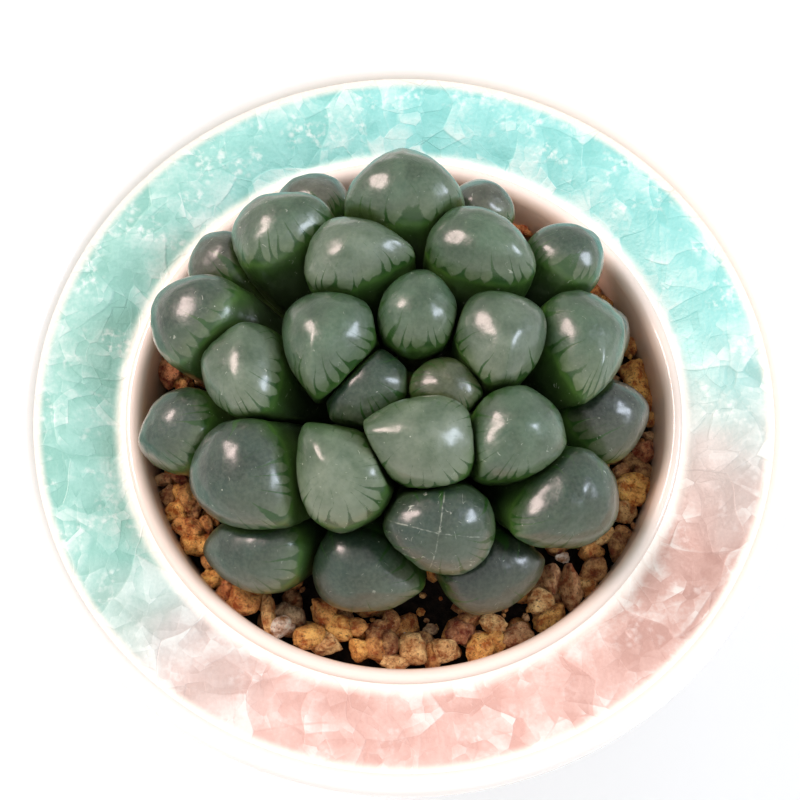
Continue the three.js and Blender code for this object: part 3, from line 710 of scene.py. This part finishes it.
# how many, from what size to what, between which radii, what they clear, and how closely they may lie
upper = scattered(80, 1.1, 1.8, 12, GRIT_RADIUS, covered, 0.86, stone_random)
lower = scattered(260, 1.0, 1.6, 8.6, GRIT_RADIUS - 0.4, SOIL_PITS, 0.74, stone_random)
grains = scattered(300, 0.25, 0.55, 15, GRIT_RADIUS - 0.2, [], 1.0, stone_random)
# two layers of stones and the grains between them, each with its height, its top and its rings and sides
for heap, height, top, rings, sides in (
    (upper, 43.4, GRIT_TOP_UNDER_LEAVES, 12, 18),
    (lower, 42.5, 44.4, 6, 10),
    (grains, 43.2, 44.6, 4, 7),
):
    x, y, size = np.array(heap).T
    count = len(heap)
    pour(
        np.stack([x, y, height + stone_random.uniform(-0.2, 0.6, count)], -1),
        size[:, None] * stone_random.uniform([0.95, 0.75, 0.7], [1.2, 1.0, 0.95], (count, 3)),
        stone_random.uniform(0, np.pi, count),
        stone_random.choice(COMMON_TONES, count),
        rings,
        sides,
        top,
    )
grit = new_piece(
    "golden_grit",
    np.vstack(grit_points),
    [np.vstack(grit_faces[kind::3]) for kind in range(3)],
    fired_clay_grit(),
    stone_colour=np.vstack(grit_colours),
)
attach(grit, "root")
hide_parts("grit_top_dressing")


# Stem
# The plant's short green stock: a neck in the soil that swells to a dome, from which every leaf grows. It
# is hidden under the leaves, and scarred in rings where old leaves have dried off.
STEM_FOOT = np.array([1.0, 0.5, 0.0])
DOME_HEIGHT = 46.0
DOME_RADIUS = 7.0
STEM_BASE = 30.0
STEM_SIDES = 72
STEM_SEED = 5


def green_stock():
    """Living stem skin: yellow green, fleshy, with a brown papery scar round each old leaf's place."""
    material, shader, add = new_material(
        "green_stock",
        Roughness=0.5,
        IOR=1.42,
        Subsurface_Weight=0.1,
        Subsurface_Scale=1 * MM,
    )
    place = in_millimetres(add)
    rings = add("TexWave", Vector=place, Scale=0.18, Distortion=4.0, Detail=2.0, bands_direction="Z")
    patch = add("TexNoise", Vector=place, Scale=0.6, Detail=3.0)
    green = add("Mix", patch, "4A6A28", "7C9150")
    scar = add("MapRange", rings, 0.75, 0.95, 0.0, 0.7)
    colour = add("Mix", scar, green, "8A6A48")
    bump = add("Bump", Strength=0.7, Distance=0.4 * MM, Height=rings)
    feed(shader, Base_Color=colour, Normal=bump)
    return material


quarter = np.linspace(0, np.pi / 2, 14)[:-1]
stem_path = along(
    curve([2.5, STEM_BASE], [5, 33], [5.6, 38], steps=10),
    curve([5.6, 38], [5.7, 40.5], [7, 43], steps=8),
    np.stack([DOME_RADIUS * np.cos(quarter), DOME_HEIGHT + DOME_RADIUS * np.sin(quarter)], -1),
)
stem_points = turned(stem_path, STEM_SIDES)
stem_points[..., :2] *= 1 + 0.02 * ripples(stem_points, 3.0, STEM_SEED)[..., None] - 0.02
stem_ends = np.array([[0, 0, STEM_BASE], [0, 0, DOME_HEIGHT + DOME_RADIUS]])
stem_points = np.vstack([stem_points.reshape(-1, 3), stem_ends]) + STEM_FOOT
stem = new_piece("leaf_stock", stem_points, skin_faces(len(stem_path), STEM_SIDES), green_stock())
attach(stem, "root")
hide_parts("stem")


# Leaves
# Plump water-filled leaves that grow from the stem's dome and turn up. Each ends in a glassy rounded
# window, and dark green veins run up into it from the flesh. Where leaves meet, they press each other flat.
WINDOW_TONES = {
    "olive": "49522F",
    "milky": "6E7D6A",
    "misty": "5C6E5D",
    "sage": "445F4A",
    "bottle": "1C3D2C",
    "slate": "243E33",
    "dusty": "45483C",
    "shade": "10261D",
}
# head is the middle of a leaf's plump end. long and wide are its half sizes, seen along the leaf. corner is
# the way its narrow corner points, in degrees, and point how narrow that is. lean is how far the end tips
# out, and down how far from the dome's top the leaf grows, in degrees. window names a tone, wear is how
# scratched the leaf is, and edge moves the end of the green up, in millimetres.
LEAF_FIELDS = ("name", "head", "long", "wide", "corner", "point", "lean", "down", "window", "wear", "edge")
LEAF_TABLE = [
    ("crown_1", (4.8, -1.2, 57.6), 4.5, 4.0, 180, 0.1, 5, 8, "olive", 0.1, 0.6),
    ("crown_2", (1.6, 7.4, 59.4), 5.2, 4.6, 80, 0.1, 10, 34, "sage", 0.15, -0.7),
    ("crown_3", (10.7, 3.8, 59.4), 6.2, 5.1, 264, 0.35, 12, 36, "misty", 0.15, -0.5),
    ("crown_4", (1.5, -8.2, 60.08), 6.8, 5.2, 172, 0.3, 12, 36, "milky", 0.15, 0.7),
    ("crown_5", (-4.2, -0.6, 56.6), 5.2, 4.6, 225, 0.2, 10, 34, "bottle", 0.2, -0.3),
    ("inner_1", (-8.5, 3.6, 59.4), 6.3, 5.3, 262, 0.35, 16, 58, "sage", 0.15, -0.6),
    ("inner_2", (-17.6, 0.8, 57.2), 6.4, 4.9, 296, 0.25, 26, 72, "misty", 0.25, 0.0),
    ("inner_3", (-7, -11.3, 58.4), 6.3, 5.1, 122, 0.32, 20, 58, "milky", 0.2, 0.6),
    ("inner_4", (11.7, -7.2, 58.4), 6.2, 5.2, 222, 0.3, 18, 58, "sage", 0.25, 0.5),
    ("inner_5", (-5.3, 14.3, 59.2), 6.2, 4.9, 0, 0.35, 16, 60, "misty", 0.2, -0.5),
    ("inner_6", (8.8, 15.2, 59), 6.6, 5.0, 330, 0.12, 18, 60, "sage", 0.3, -0.6),
    ("middle_1", (0.1, 22.8, 56.6), 6.0, 6.9, 90, 0.3, 26, 78, "sage", 0.15, 0.4),
    ("middle_2", (-14, 18.7, 56), 6.2, 5.6, 15, 0.25, 30, 80, "sage", 0.2, 0.6),
    ("middle_3", (-23.6, 8.3, 54.6), 6.5, 5.9, 150, 0.2, 46, 82, "bottle", 0.15, 0.4),
    ("middle_4", (19.1, 16.4, 54.4), 5.2, 4.6, 45, 0.25, 40, 82, "bottle", 0.15, 0.0),
    ("middle_5", (20.2, 4.6, 56), 7.0, 5.1, 262, 0.35, 30, 74, "sage", 0.3, 0.2),
    ("middle_6", (17.5, -13.4, 54.4), 6.9, 5.3, 206, 0.3, 34, 80, "bottle", 0.25, 0.1),
    ("middle_7", (3.8, -16.6, 56.2), 6.3, 5.1, 168, 0.2, 30, 76, "slate", 0.9, 0.0),
    ("middle_8", (-17, -10.8, 55.4), 7.2, 6.1, 318, 0.25, 34, 78, "slate", 0.15, 0.5),
    ("outer_1", (-11, 24.5, 51.6), 4.8, 4.5, 150, 0.15, 46, 90, "dusty", 0.3, -0.6),
    ("outer_2", (9.2, 24.4, 51.6), 4.3, 4.0, 90, 0.2, 42, 90, "dusty", 0.2, -0.6),
    ("outer_3", (-21.4, 17.2, 51.2), 4.8, 4.4, 120, 0.2, 46, 90, "dusty", 0.3, -0.6),
    ("outer_4", (22.6, 8.4, 50.6), 4.6, 4.2, 30, 0.2, 42, 90, "shade", 0.2, 0.0),
    ("outer_5", (23.2, -1.9, 50.6), 5.5, 5.1, 20, 0.25, 42, 90, "shade", 0.25, -0.5),
    ("outer_6", (10, -19.8, 49.8), 6.0, 4.6, 20, 0.15, 40, 90, "shade", 0.3, -0.5),
    ("outer_7", (-4.2, -20, 50.2), 6.3, 4.8, 345, 0.3, 38, 90, "slate", 0.25, -0.5),
    ("outer_8", (-16.4, -17.6, 50), 6.4, 4.8, 182, 0.15, 38, 90, "slate", 0.25, 0.6),
    ("outer_9", (-25.3, -4.1, 51.4), 5.4, 5.0, 190, 0.2, 42, 90, "slate", 0.2, 0.4),
]
LEAVES = [dict(zip(LEAF_FIELDS, row)) for row in LEAF_TABLE]
LEAF_SIDES = 84
LEAF_ROWS = 36
TIP_ROWS = 18
STAND_IN_ROWS = 7
# How far a leaf's root is off the dome, and how long its curve's two handles are as shares of its length.
ROOT_LIFT = 0.35
ROOT_HANDLE = 0.35
HEAD_HANDLE = 0.4
PRESSED_GAP = 0.16
PRESSED_ROUNDING = 0.1
# A leaf is tried against its neighbours from the first of these shares of the way out from its middle to the
# second, and keeps at least the third.
TRIED_FROM = 0.04
TRIED_TO = 1.2
LEAST_KEPT = 0.125
# What a leaf keeps clear of, and by how much: the grit, which lies lower in a hollow round the stem, and the
# thin lip.
HOLLOW_RADIUS = 13.5
GRIT_TOP_BY_STEM = 43.2
THIN_LIP_TOP = 49.5
CLEARANCE = 0.3
# Leaves further apart than this don't press each other, in millimetres.
NEIGHBOURS = 1.5
# How much a section's corner is drawn out, and how high the rounded tip is for its half width.
CORNER_DRAWN = 0.22
TIP_HEIGHT = 0.95
# Veins round a leaf, and the girth of a middling leaf in millimetres.
VEINS = 21
MIDDLING_GIRTH = 34.6
# Which way light leaves a leaf: it comes in at the back and left, and the clear window passes it on. Along
# this way the leaves are painted darker on the lamp's side and paler on the far side.
LIGHT_LEAVES = np.array([0.4, -0.9, 0.0])
LEAF_SEED = 100
TONE_SEED = 19


def soft_step(share):
    """Runs from 0 to 1 with a level start and end: 3t^2 - 2t^3."""
    share = np.clip(share, 0, 1)
    return share * share * (3 - 2 * share)


def leaf_sections(leaf, rows):
    """The middle line of a leaf, a cubic Bezier curve from the dome to the head, as rows of sections. Each
    has its middle, its way along the line, its long and wide directions, half sizes and how pointed it is."""
    head = np.array(leaf["head"], float)
    dome = STEM_FOOT + [0, 0, DOME_HEIGHT]
    out = math.atan2(head[1] - dome[1], head[0] - dome[0])
    polar = np.radians([leaf["down"], leaf["lean"]])[:, None]
    level = np.sin(polar)
    root_way, axis = np.hstack([level * math.cos(out), level * math.sin(out), np.cos(polar)])
    root = dome + root_way * (DOME_RADIUS + ROOT_LIFT)
    reach = np.linalg.norm(root - head)
    near_root = root + root_way * reach * ROOT_HANDLE
    corners = np.array([root, near_root, head - axis * reach * HEAD_HANDLE, head])
    middle = curve(*corners, steps=rows - 1)
    way = curve(*np.diff(corners, axis=0), steps=rows - 1)
    way /= np.linalg.norm(way, axis=1, keepdims=True)
    turn = math.radians(leaf["corner"])
    long = np.zeros_like(way)
    carried = np.array([math.cos(turn), math.sin(turn), 0])
    for row in range(rows - 1, -1, -1):
        carried = carried - way[row] * (carried @ way[row])
        carried /= np.linalg.norm(carried)
        long[row] = carried
    share = np.linspace(0, 1, rows)
    # a leaf is 0.42 of its full size at the stem, and round there whatever its head is like
    swell = 0.42 + 0.58 * soft_step(share / 0.85)
    form = soft_step(share)
    plump = (leaf["long"] + leaf["wide"]) / 2
    half_long = swell * (plump * (1 - form) + leaf["long"] * form)
    half_wide = swell * (plump * (1 - form) + leaf["wide"] * form)
    return middle, way, long, np.cross(way, long), half_long, half_wide, leaf["point"] * form


def stand_in_balls(leaf):
    """Balls that stand for a leaf when its neighbours press on it: three to a section, on its longer axis."""
    middle, _, long, wide, half_long, half_wide, point = leaf_sections(leaf, STAND_IN_ROWS)
    spare = half_long - half_wide
    across = np.where(spare[:, None] > 0, long, wide)
    sides = np.array([-0.8, 0, 0.8])
    centres = middle[:, None] + across[:, None] * (sides[None, :, None] * np.abs(spare)[:, None, None])
    radii = np.minimum(half_long, half_wide)[:, None] * np.where(sides > 0, 1 - 0.5 * point[:, None], 1)
    return centres.reshape(-1, 3), radii.ravel()


def depth_in(points, centres, radii, softness=0.3):
    """How far points are from the skin of a row of balls, negative inside. The balls are blended: the soft
    least of the distances is -s log(sum exp(-d / s))."""
    square = (points**2).sum(-1)[..., None] + (centres**2).sum(-1) - 2 * points @ centres.T
    distance = np.sqrt(np.maximum(square, 0)) - radii
    nearest = distance.min(-1, keepdims=True)
    return nearest[..., 0] - softness * np.log(np.exp((nearest - distance) / softness).sum(-1))


def room_left(points):
    """How far points are clear of the grit, the pot's lip and the stem's dome, in millimetres."""
    reach = np.linalg.norm(points[..., :2], axis=-1)
    ground = np.where(reach > HOLLOW_RADIUS, GRIT_TOP_UNDER_LEAVES, GRIT_TOP_BY_STEM) + CLEARANCE
    # the inside wall leans in a little under the opening
    wall = OPENING_RADIUS - 0.2 * np.clip(OPENING_HEIGHT - points[..., 2], 0, 4)
    lip = np.maximum(points[..., 2] - THIN_LIP_TOP, wall - CLEARANCE - reach)
    dome = np.linalg.norm(points - (STEM_FOOT + [0, 0, DOME_HEIGHT]), axis=-1) - DOME_RADIUS - CLEARANCE
    return np.minimum(np.minimum(points[..., 2] - ground, lip), dome)


def pressed(start, free, own, others):
    """Each point of the free skin drawn back along its line from the leaf's middle to where a neighbour, the
    pot or the grit stops it, with the edge of the pressed part rounded over."""
    shares = np.linspace(TRIED_FROM, TRIED_TO, 30)
    points = start[None] + shares[:, None, None, None] * (free - start)[None]
    room = np.minimum(depth_in(points, *others) - depth_in(points, *own) - PRESSED_GAP, room_left(points))
    stopped = room < 0
    first = np.maximum(stopped.argmax(0), 1)[None]
    before = np.take_along_axis(room, first - 1, 0)[0]
    after = np.take_along_axis(room, first, 0)[0]
    slide = np.clip(before / np.maximum(before - after, 1e-6), 0, 1)
    meets = shares[first[0] - 1] + slide * (shares[1] - shares[0])
    meets = np.maximum(np.where(stopped.any(0), meets, TRIED_TO), LEAST_KEPT)
    blend = np.clip(0.5 + 0.5 * (1 - meets) / PRESSED_ROUNDING, 0, 1)
    share = 1 + (meets - 1) * blend - PRESSED_ROUNDING * blend * (1 - blend)
    return start + np.minimum(share, 1)[..., None] * (free - start)


def leaf_shape(leaf, own, others, seed):
    """Points of a leaf's skin, row by row, with the coordinates its material reads. A section is an ellipse
    whose width falls off to its corner: across = wide sin a (1 - point cos a). The corner is drawn out by
    CORNER_DRAWN point exp(-8 a^2). The tip is half such an ellipsoid."""
    middle, way, long, wide, half_long, half_wide, point = leaf_sections(leaf, LEAF_ROWS)
    angle = np.linspace(0, 2 * np.pi, LEAF_SIDES, endpoint=False)
    rise = np.linspace(0, np.pi / 2, TIP_ROWS + 1)[1:]
    height = TIP_HEIGHT * leaf["wide"]
    # the tip's rows go on from the last section
    row = np.minimum(np.arange(LEAF_ROWS + TIP_ROWS), LEAF_ROWS - 1)
    start, long, wide, point = middle[row], long[row], wide[row], point[row, None]
    centre = np.vstack([middle, middle[-1] + way[-1] * height * np.sin(rise)[:, None]])
    size = np.append(np.ones(LEAF_ROWS), np.cos(rise))
    half_long, half_wide = half_long[row] * size, half_wide[row] * size
    from_corner = np.minimum(angle, 2 * np.pi - angle)
    run = half_long[:, None] * (np.cos(angle) + CORNER_DRAWN * point * np.exp(-8 * from_corner**2))
    across = half_wide[:, None] * np.sin(angle) * (1 - point * np.cos(angle))
    free = centre[:, None] + long[:, None] * run[..., None] + wide[:, None] * across[..., None]
    skin = pressed(np.repeat(start[:, None], LEAF_SIDES, 1), free, own, others)
    kept = np.linalg.norm(skin - start[:, None], axis=-1) / np.linalg.norm(free - start[:, None], axis=-1)
    # how far a point lies towards the side away from the lamp, where light through the leaf is painted in
    front = (skin - middle[-1]) @ LIGHT_LEAVES / ((leaf["long"] + leaf["wide"]) / 2)
    # shallow dents, nearly all of them inward
    dents = 0.05 * ripples(skin, 4.5, seed) + 0.02 * ripples(skin, 1.7, seed + 1)
    outward = skin - start[:, None]
    outward /= np.linalg.norm(outward, axis=-1, keepdims=True)
    skin = skin + outward * (dents - 0.08)[..., None]
    length = np.append(0, np.cumsum(np.linalg.norm(np.diff(middle, axis=0), axis=1)))
    upward = np.append(length - length[-1], rise * (height + half_long[LEAF_ROWS - 1]) / 2)
    turning = turned(np.stack([np.ones_like(upward), upward], -1), LEAF_SIDES)
    off_head = skin - middle[-1]
    inside = np.stack([off_head @ long[-1], off_head @ wide[-1], off_head @ way[-1]], -1)
    ends = np.array([start[0], skin[-1].mean(0)])
    inside_ends = (ends - middle[-1]) @ np.array([long[-1], wide[-1], way[-1]]).T
    turning_ends = np.array([[1, 0, upward[0]], [1, 0, upward[-1]]])
    rows = len(skin) - 1
    points = np.vstack([skin[:-1].reshape(-1, 3), ends])
    turning = np.vstack([turning[:-1].reshape(-1, 3), turning_ends])
    inside = np.vstack([inside[:-1].reshape(-1, 3), inside_ends])
    tissue = np.stack([front, 1 - kept, 0 * kept], -1)
    tissue = np.vstack([tissue[:-1].reshape(-1, 3), tissue[0].mean(0), tissue[-1].mean(0)])
    return points, skin_faces(rows, LEAF_SIDES), turning, inside, tissue


def window_leaf_skin():
    """Haworthia skin: green flesh below, and above it a clear window over milky water-storing cells, glossy
    but leathery, with fine lengthwise grain and a few pale specks and scratches. Veins run up into the
    window.
    Light through the leaf and shade at its foot are painted into the colour."""
    material, shader, add = new_material(
        "window_leaf_skin",
        IOR=1.45,
        Coat_Weight=0.85,
        Coat_Roughness=0.23,
        Subsurface_Weight=0.4,
        Subsurface_Radius=(1.0, 1.1, 0.7),
        Subsurface_Scale=0.9 * MM,
    )
    turning = add("Attribute", attribute_name="leaf_turning").outputs["Vector"]
    axes = add("SeparateXYZ", turning)
    upward = axes.outputs["Z"]
    inside = add("Attribute", attribute_name="leaf_inside").outputs["Vector"]
    local = add("SeparateXYZ", inside)
    window = add("Attribute", attribute_name="leaf_window").outputs["Color"]
    habit = add("SeparateXYZ", add("Attribute", attribute_name="leaf_habit").outputs["Vector"])
    wear, edge, seed = habit.outputs["X"], habit.outputs["Y"], habit.outputs["Z"]
    seeds = add("CombineXYZ", seed, seed, seed)
    tissue = add("SeparateXYZ", add("Attribute", attribute_name="leaf_tissue").outputs["Vector"])
    patch = add("VectorMath", inside, seeds, operation="ADD")
    cloud = add("TexNoise", Vector=patch, Scale=0.3, Detail=3.0)
    mottle = add("TexNoise", Vector=patch, Scale=2.2, Detail=3.0)

    # veins: the skin's turn is cut into cells with a vein in the middle of each, bent and spaced by noise
    spaced = add("VectorMath", turning, (1.7, 1.7, 0.0), seeds, operation="MULTIPLY_ADD")
    spaced = add("TexNoise", Vector=spaced, Scale=1.0, Detail=1.0)
    swayed = add("VectorMath", turning, (1.6, 1.6, 0.2), seeds, operation="MULTIPLY_ADD")
    swayed = add("TexNoise", Vector=swayed, Scale=1.0, Detail=1.0)
    turn = add("Math", axes.outputs["Y"], axes.outputs["X"], operation="ARCTAN2")
    phase = add("Math", turn, VEINS / (2 * math.pi), operation="MULTIPLY")
    phase = add("Math", spaced, 2.6, phase, operation="MULTIPLY_ADD")
    phase = add("Math", swayed, 1.3, phase, operation="MULTIPLY_ADD")
    cell = add("Math", phase, operation="FLOOR")
    cell = add("Math", cell, VEINS, operation="FLOORED_MODULO")
    chance = add("CombineXYZ", cell, seed)
    chance = add("SeparateXYZ", add("TexWhiteNoise", Vector=chance).outputs["Color"])
    spread = add("Math", phase, operation="FRACT")
    spread = add("Math", spread, 0.5, operation="SUBTRACT")
    spread = add("Math", spread, operation="ABSOLUTE")
    # in millimetres on a leaf of middling girth, with a ragged edge
    spread = add("Math", spread, MIDDLING_GIRTH / VEINS, operation="MULTIPLY")
    ragged = add("Math", mottle, 0.5, operation="SUBTRACT")
    spread = add("Math", ragged, 0.2, spread, operation="MULTIPLY_ADD")
    foot = add("Math", spaced, 2.4, edge, operation="MULTIPLY_ADD")
    foot = add("Math", foot, 2.3, operation="SUBTRACT")
    # the veins stand higher on the leaf's side away from the lamp, where the painted glow of light through it
    # falls
    fore = add("MapRange", tissue.outputs["X"], -0.2, 0.9, 0.0, 1.9)
    foot = add("Math", foot, fore, operation="ADD")
    foot = add("Math", chance.outputs["Z"], 0.5, foot, operation="MULTIPLY_ADD")
    tall = add("MapRange", chance.outputs["X"], 0.1, 0.9, 1.6, 6.2)
    climb = add("Math", upward, foot, operation="SUBTRACT")
    share = add("Math", climb, tall, operation="DIVIDE", use_clamp=True)
    # half width of the green at this height: a spike on a wedge, which fills the skin at the foot
    wedge = add("MapRange", climb, -0.3, 1.5, 1.0, 0.0)
    wedge = add("Math", wedge, 2.4, operation="POWER")
    wedge = add("Math", wedge, 1.15, operation="MULTIPLY")
    spike = add("Math", 1.0, share, operation="SUBTRACT")
    half_width = add("Math", spike, 0.34, wedge, operation="MULTIPLY_ADD")
    over = add("Math", half_width, spread, operation="SUBTRACT")
    # a spike is crisp, and the green at its foot fades into the window
    crisp = add("MapRange", climb, -0.2, 1.5, -0.4, -0.05)
    green = add("MapRange", over, crisp, 0.06, interpolation_type="SMOOTHSTEP")
    faint = add("MapRange", share, 0.5, 1.0, 1.0, 0.8)
    green = add("Math", green, faint, operation="MULTIPLY")

    # the flesh, in painted light and shade: bright green by the window, where light comes down through it,
    # darkening to deep green towards the stem, where the leaves shade one another
    painted_flesh_light = add("MapRange", climb, -5.5, 1.4)
    painted_flesh_light = add("Math", cloud, 0.25, painted_flesh_light, operation="MULTIPLY_ADD")
    shade_to_light_greens = [(0.0, "172110"), (0.5, "223615"), (0.85, "32501F"), (1.0, "486C2D")]
    flesh = add("ValToRGB", painted_flesh_light, stops=shade_to_light_greens)
    vein = add("MapRange", climb, 0.1, 1.0, 0.0, 0.9)
    flesh = add("Mix", vein, flesh, "1A4411")

    # the window: its own grey green, clouded, and paler and greener towards its foot, partly its milky inside
    # and partly painted light that comes down through it
    dim = add("Mix", 1.0, window, "A6BEAA", blend_type="MULTIPLY")
    milky = add("Mix", 0.25, window, "98A07C")
    hazy = add("MapRange", cloud, 0.35, 0.65)
    pane = add("Mix", hazy, dim, window)
    low = add("MapRange", climb, 0.3, 4.5, 0.6, 0.0)
    painted_lit_foot = add("MapRange", climb, 0.0, 2.8, 0.75, 0.0)
    fine = add("MapRange", mottle, 0.35, 0.7, 0.0, 0.07)
    for amount, tone in ((low, milky), (painted_lit_foot, "4E6B38"), (fine, "B4BEA8")):
        pane = add("Mix", amount, pane, tone)
    # painted light and shade for light that goes through the leaf: darker green on the lamp's side, paler on
    # the far side
    back = add("MapRange", tissue.outputs["X"], 0.2, -1.0)
    pane = add("Mix", back, pane, "92B48E", blend_type="MULTIPLY")
    front = add("MapRange", tissue.outputs["X"], 0.1, 1.0, 0.0, 0.22)
    pane = add("Mix", front, pane, "9AA284")
    colour = add("Mix", green, pane, flesh)
    # the margin that a neighbour covers grows no window, so a thin green line shows where two leaves touch
    margin = add("MapRange", tissue.outputs["Y"], 0.012, 0.05, 0.0, 0.8)
    colour = add("Mix", margin, colour, "3E5426")

    # specks about 0.15 mm across, in loose groups
    spots = add("TexVoronoi", Vector=patch, Scale=1.5)
    chosen = add("SeparateXYZ", spots.outputs["Color"])
    group = add("TexNoise", Vector=patch, Scale=0.45, Detail=1.0)
    group = add("Math", wear, 0.16, group, operation="MULTIPLY_ADD")
    group = add("Math", group, chosen.outputs["X"], operation="MULTIPLY")
    group = add("MapRange", group, 0.54, 0.66, 0.0, 0.7)
    spot = add("MapRange", spots.outputs["Distance"], 0.07, 0.16, 1.0, 0.0)
    spot = add("Math", spot, group, operation="MULTIPLY")
    # scratches: thin contour lines of slow noise, in short broken lengths
    trace = add("TexNoise", Vector=patch, Scale=0.55, Detail=1.5, Distortion=0.6)
    trace = add("Math", trace, 0.5, operation="SUBTRACT")
    trace = add("Math", trace, operation="ABSOLUTE")
    trace = add("MapRange", trace, 0.0, 0.012, 1.0, 0.0)
    broken = add("TexNoise", Vector=patch, Scale=1.3, Detail=2.0)
    broken = add("Math", wear, 0.13, broken, operation="MULTIPLY_ADD")
    broken = add("MapRange", broken, 0.65, 0.77, 0.0, 0.5)
    scratch = add("Math", trace, broken, operation="MULTIPLY")
    # the ridge over a worn tip, rubbed white along the leaf's two axes
    ridges = []
    for side, other in (("Y", 0.0), ("X", 0.8)):
        off = add("Math", cloud, 0.6, local.outputs[side], operation="MULTIPLY_ADD")
        off = add("Math", off, other, operation="SUBTRACT")
        off = add("Math", off, operation="ABSOLUTE")
        ridges.append(add("MapRange", off, 0.03, 0.1, 1.0, 0.0))
    ridge = add("Math", ridges[0], ridges[1], operation="MAXIMUM")
    rubbed = add("MapRange", mottle, 0.42, 0.6, 0.1, 0.7)
    worn = add("MapRange", wear, 0.7, 0.9, 0.0, 0.4)
    high = add("MapRange", upward, 2.0, 4.0)
    for amount in (rubbed, worn, high):
        ridge = add("Math", ridge, amount, operation="MULTIPLY")
    mark = add("Math", spot, scratch, operation="MAXIMUM")
    mark = add("Math", mark, ridge, operation="MAXIMUM")
    colour = add("Mix", mark, colour, "DCE2D2")

    # glossy skin with a leathery surface and fine grain along the leaf
    grain = add("VectorMath", turning, (11.0, 11.0, 0.8), seeds, operation="MULTIPLY_ADD")
    grain = add("TexNoise", Vector=grain, Scale=1.0, Detail=2.0)
    leather = add("TexNoise", Vector=patch, Scale=1.4, Detail=4.0)
    rough = add("MapRange", leather, 0.3, 0.7, 0.31, 0.43)
    relief = add("Math", leather, 0.08, operation="MULTIPLY")
    for part, raised in ((grain, 0.012), (mark, 0.03), (green, -0.02)):
        relief = add("Math", part, raised, relief, operation="MULTIPLY_ADD")
    bump = add("Bump", Strength=1.0, Distance=1 * MM, Height=relief)
    feed(shader, Base_Color=colour, Roughness=rough, Normal=bump)
    return material


tone_random = np.random.default_rng(TONE_SEED)
leaf_skin = window_leaf_skin()
stand_ins = [stand_in_balls(leaf) for leaf in LEAVES]
for number, leaf in enumerate(LEAVES):
    own_centres, own_radii = stand_ins[number]
    rest = stand_ins[:number] + stand_ins[number + 1 :]
    centres = np.vstack([balls[0] for balls in rest])
    radii = np.concatenate([balls[1] for balls in rest])
    apart = np.linalg.norm(centres[:, None] - own_centres, axis=-1) - radii[:, None] - own_radii
    near = apart.min(1) < NEIGHBOURS
    others = (centres[near], radii[near])
    seed = LEAF_SEED + 7 * number
    points, faces, turning, inside, tissue = leaf_shape(leaf, stand_ins[number], others, seed)
    tone = np.array(linear(WINDOW_TONES[leaf["window"]])[:3]) * tone_random.uniform(0.92, 1.08)
    # the last number sets one leaf's noise apart from the next one's
    habit = np.array([leaf["wear"], leaf["edge"], 3.7 * number + 1.3])
    plump_leaf = new_piece(
        "plump_leaf_" + leaf["name"],
        points,
        faces,
        leaf_skin,
        leaf_turning=turning,
        leaf_inside=inside,
        leaf_tissue=tissue,
        leaf_window=np.repeat([tone], len(points), 0),
        leaf_habit=np.repeat([habit], len(points), 0),
    )
    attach(plump_leaf, "root")
    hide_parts("leaf_" + leaf["name"])


# Studio
# A pale matt table top, a broad warm lamp high on the back left, a smaller cool one on the right, and white
# walls all round that fill the shade.
ROOM_BRIGHTNESS = 0.86
# Half the table's width in millimetres, and the lamps' distance from what they point at, in metres.
TABLE_REACH = 1500.0
LAMP_DISTANCE = 0.6
LAMPS_AIM_AT = (0, 0, 0.055)


def pale_table():
    """Matt white laminate: near white, with a grain too faint to see from here."""
    material, shader, add = new_material("pale_table", Roughness=0.7)
    place = add("TexCoord").outputs["Object"]
    cloud = add("TexNoise", Vector=place, Scale=30.0, Detail=4.0)
    colour = add("Mix", cloud, "F6F6F6", "FBFBFB")
    feed(shader, Base_Color=colour)
    return material


floor_corners = TABLE_REACH * np.array([[-1, -1, 0], [1, -1, 0], [1, 1, 0], [-1, 1, 0]])
floor = new_piece("table_top", floor_corners, [np.array([[0, 1, 2, 3]])], pale_table())

world = bpy.data.worlds.new("white_room")
world.use_nodes = True
feed(world.node_tree.nodes["Background"], Color="FBFAF8", Strength=ROOM_BRIGHTNESS)
bpy.context.scene.world = world
bpy.context.scene.view_settings.view_transform = "Standard"

for lamp_name, way, size, power, tone in (
    ("warm_softbox", (-0.596, 0.366, 0.715), 0.28, 3.2, "FFE4DE"),
    ("cool_window", (0.80, 0.11, 0.59), 0.19, 1.5, "E4EEFF"),
):
    lamp = bpy.data.lights.new(lamp_name, "AREA")
    lamp.shape = "DISK"
    lamp.size = size
    lamp.energy = power
    lamp.color = linear(tone)[:3]
    lamp_object = bpy.data.objects.new(lamp_name, lamp)
    place = LAMP_DISTANCE * np.array(way) + LAMPS_AIM_AT
    lamp_object.location = place.tolist()
    lamp_object.rotation_euler = (0, math.acos(way[2]), math.atan2(way[1], way[0]))
    bpy.context.scene.collection.objects.link(lamp_object)

camera = bpy.data.objects.new("camera", bpy.data.cameras.new("camera"))
camera.location = (-0.00045, -0.06955, 0.23457)
camera.rotation_euler = (math.radians(20.8), 0, 0)
camera.data.lens = 76.5
camera.data.sensor_width = 36
camera.data.clip_start = 0.01
bpy.context.scene.collection.objects.link(camera)
bpy.context.scene.camera = camera
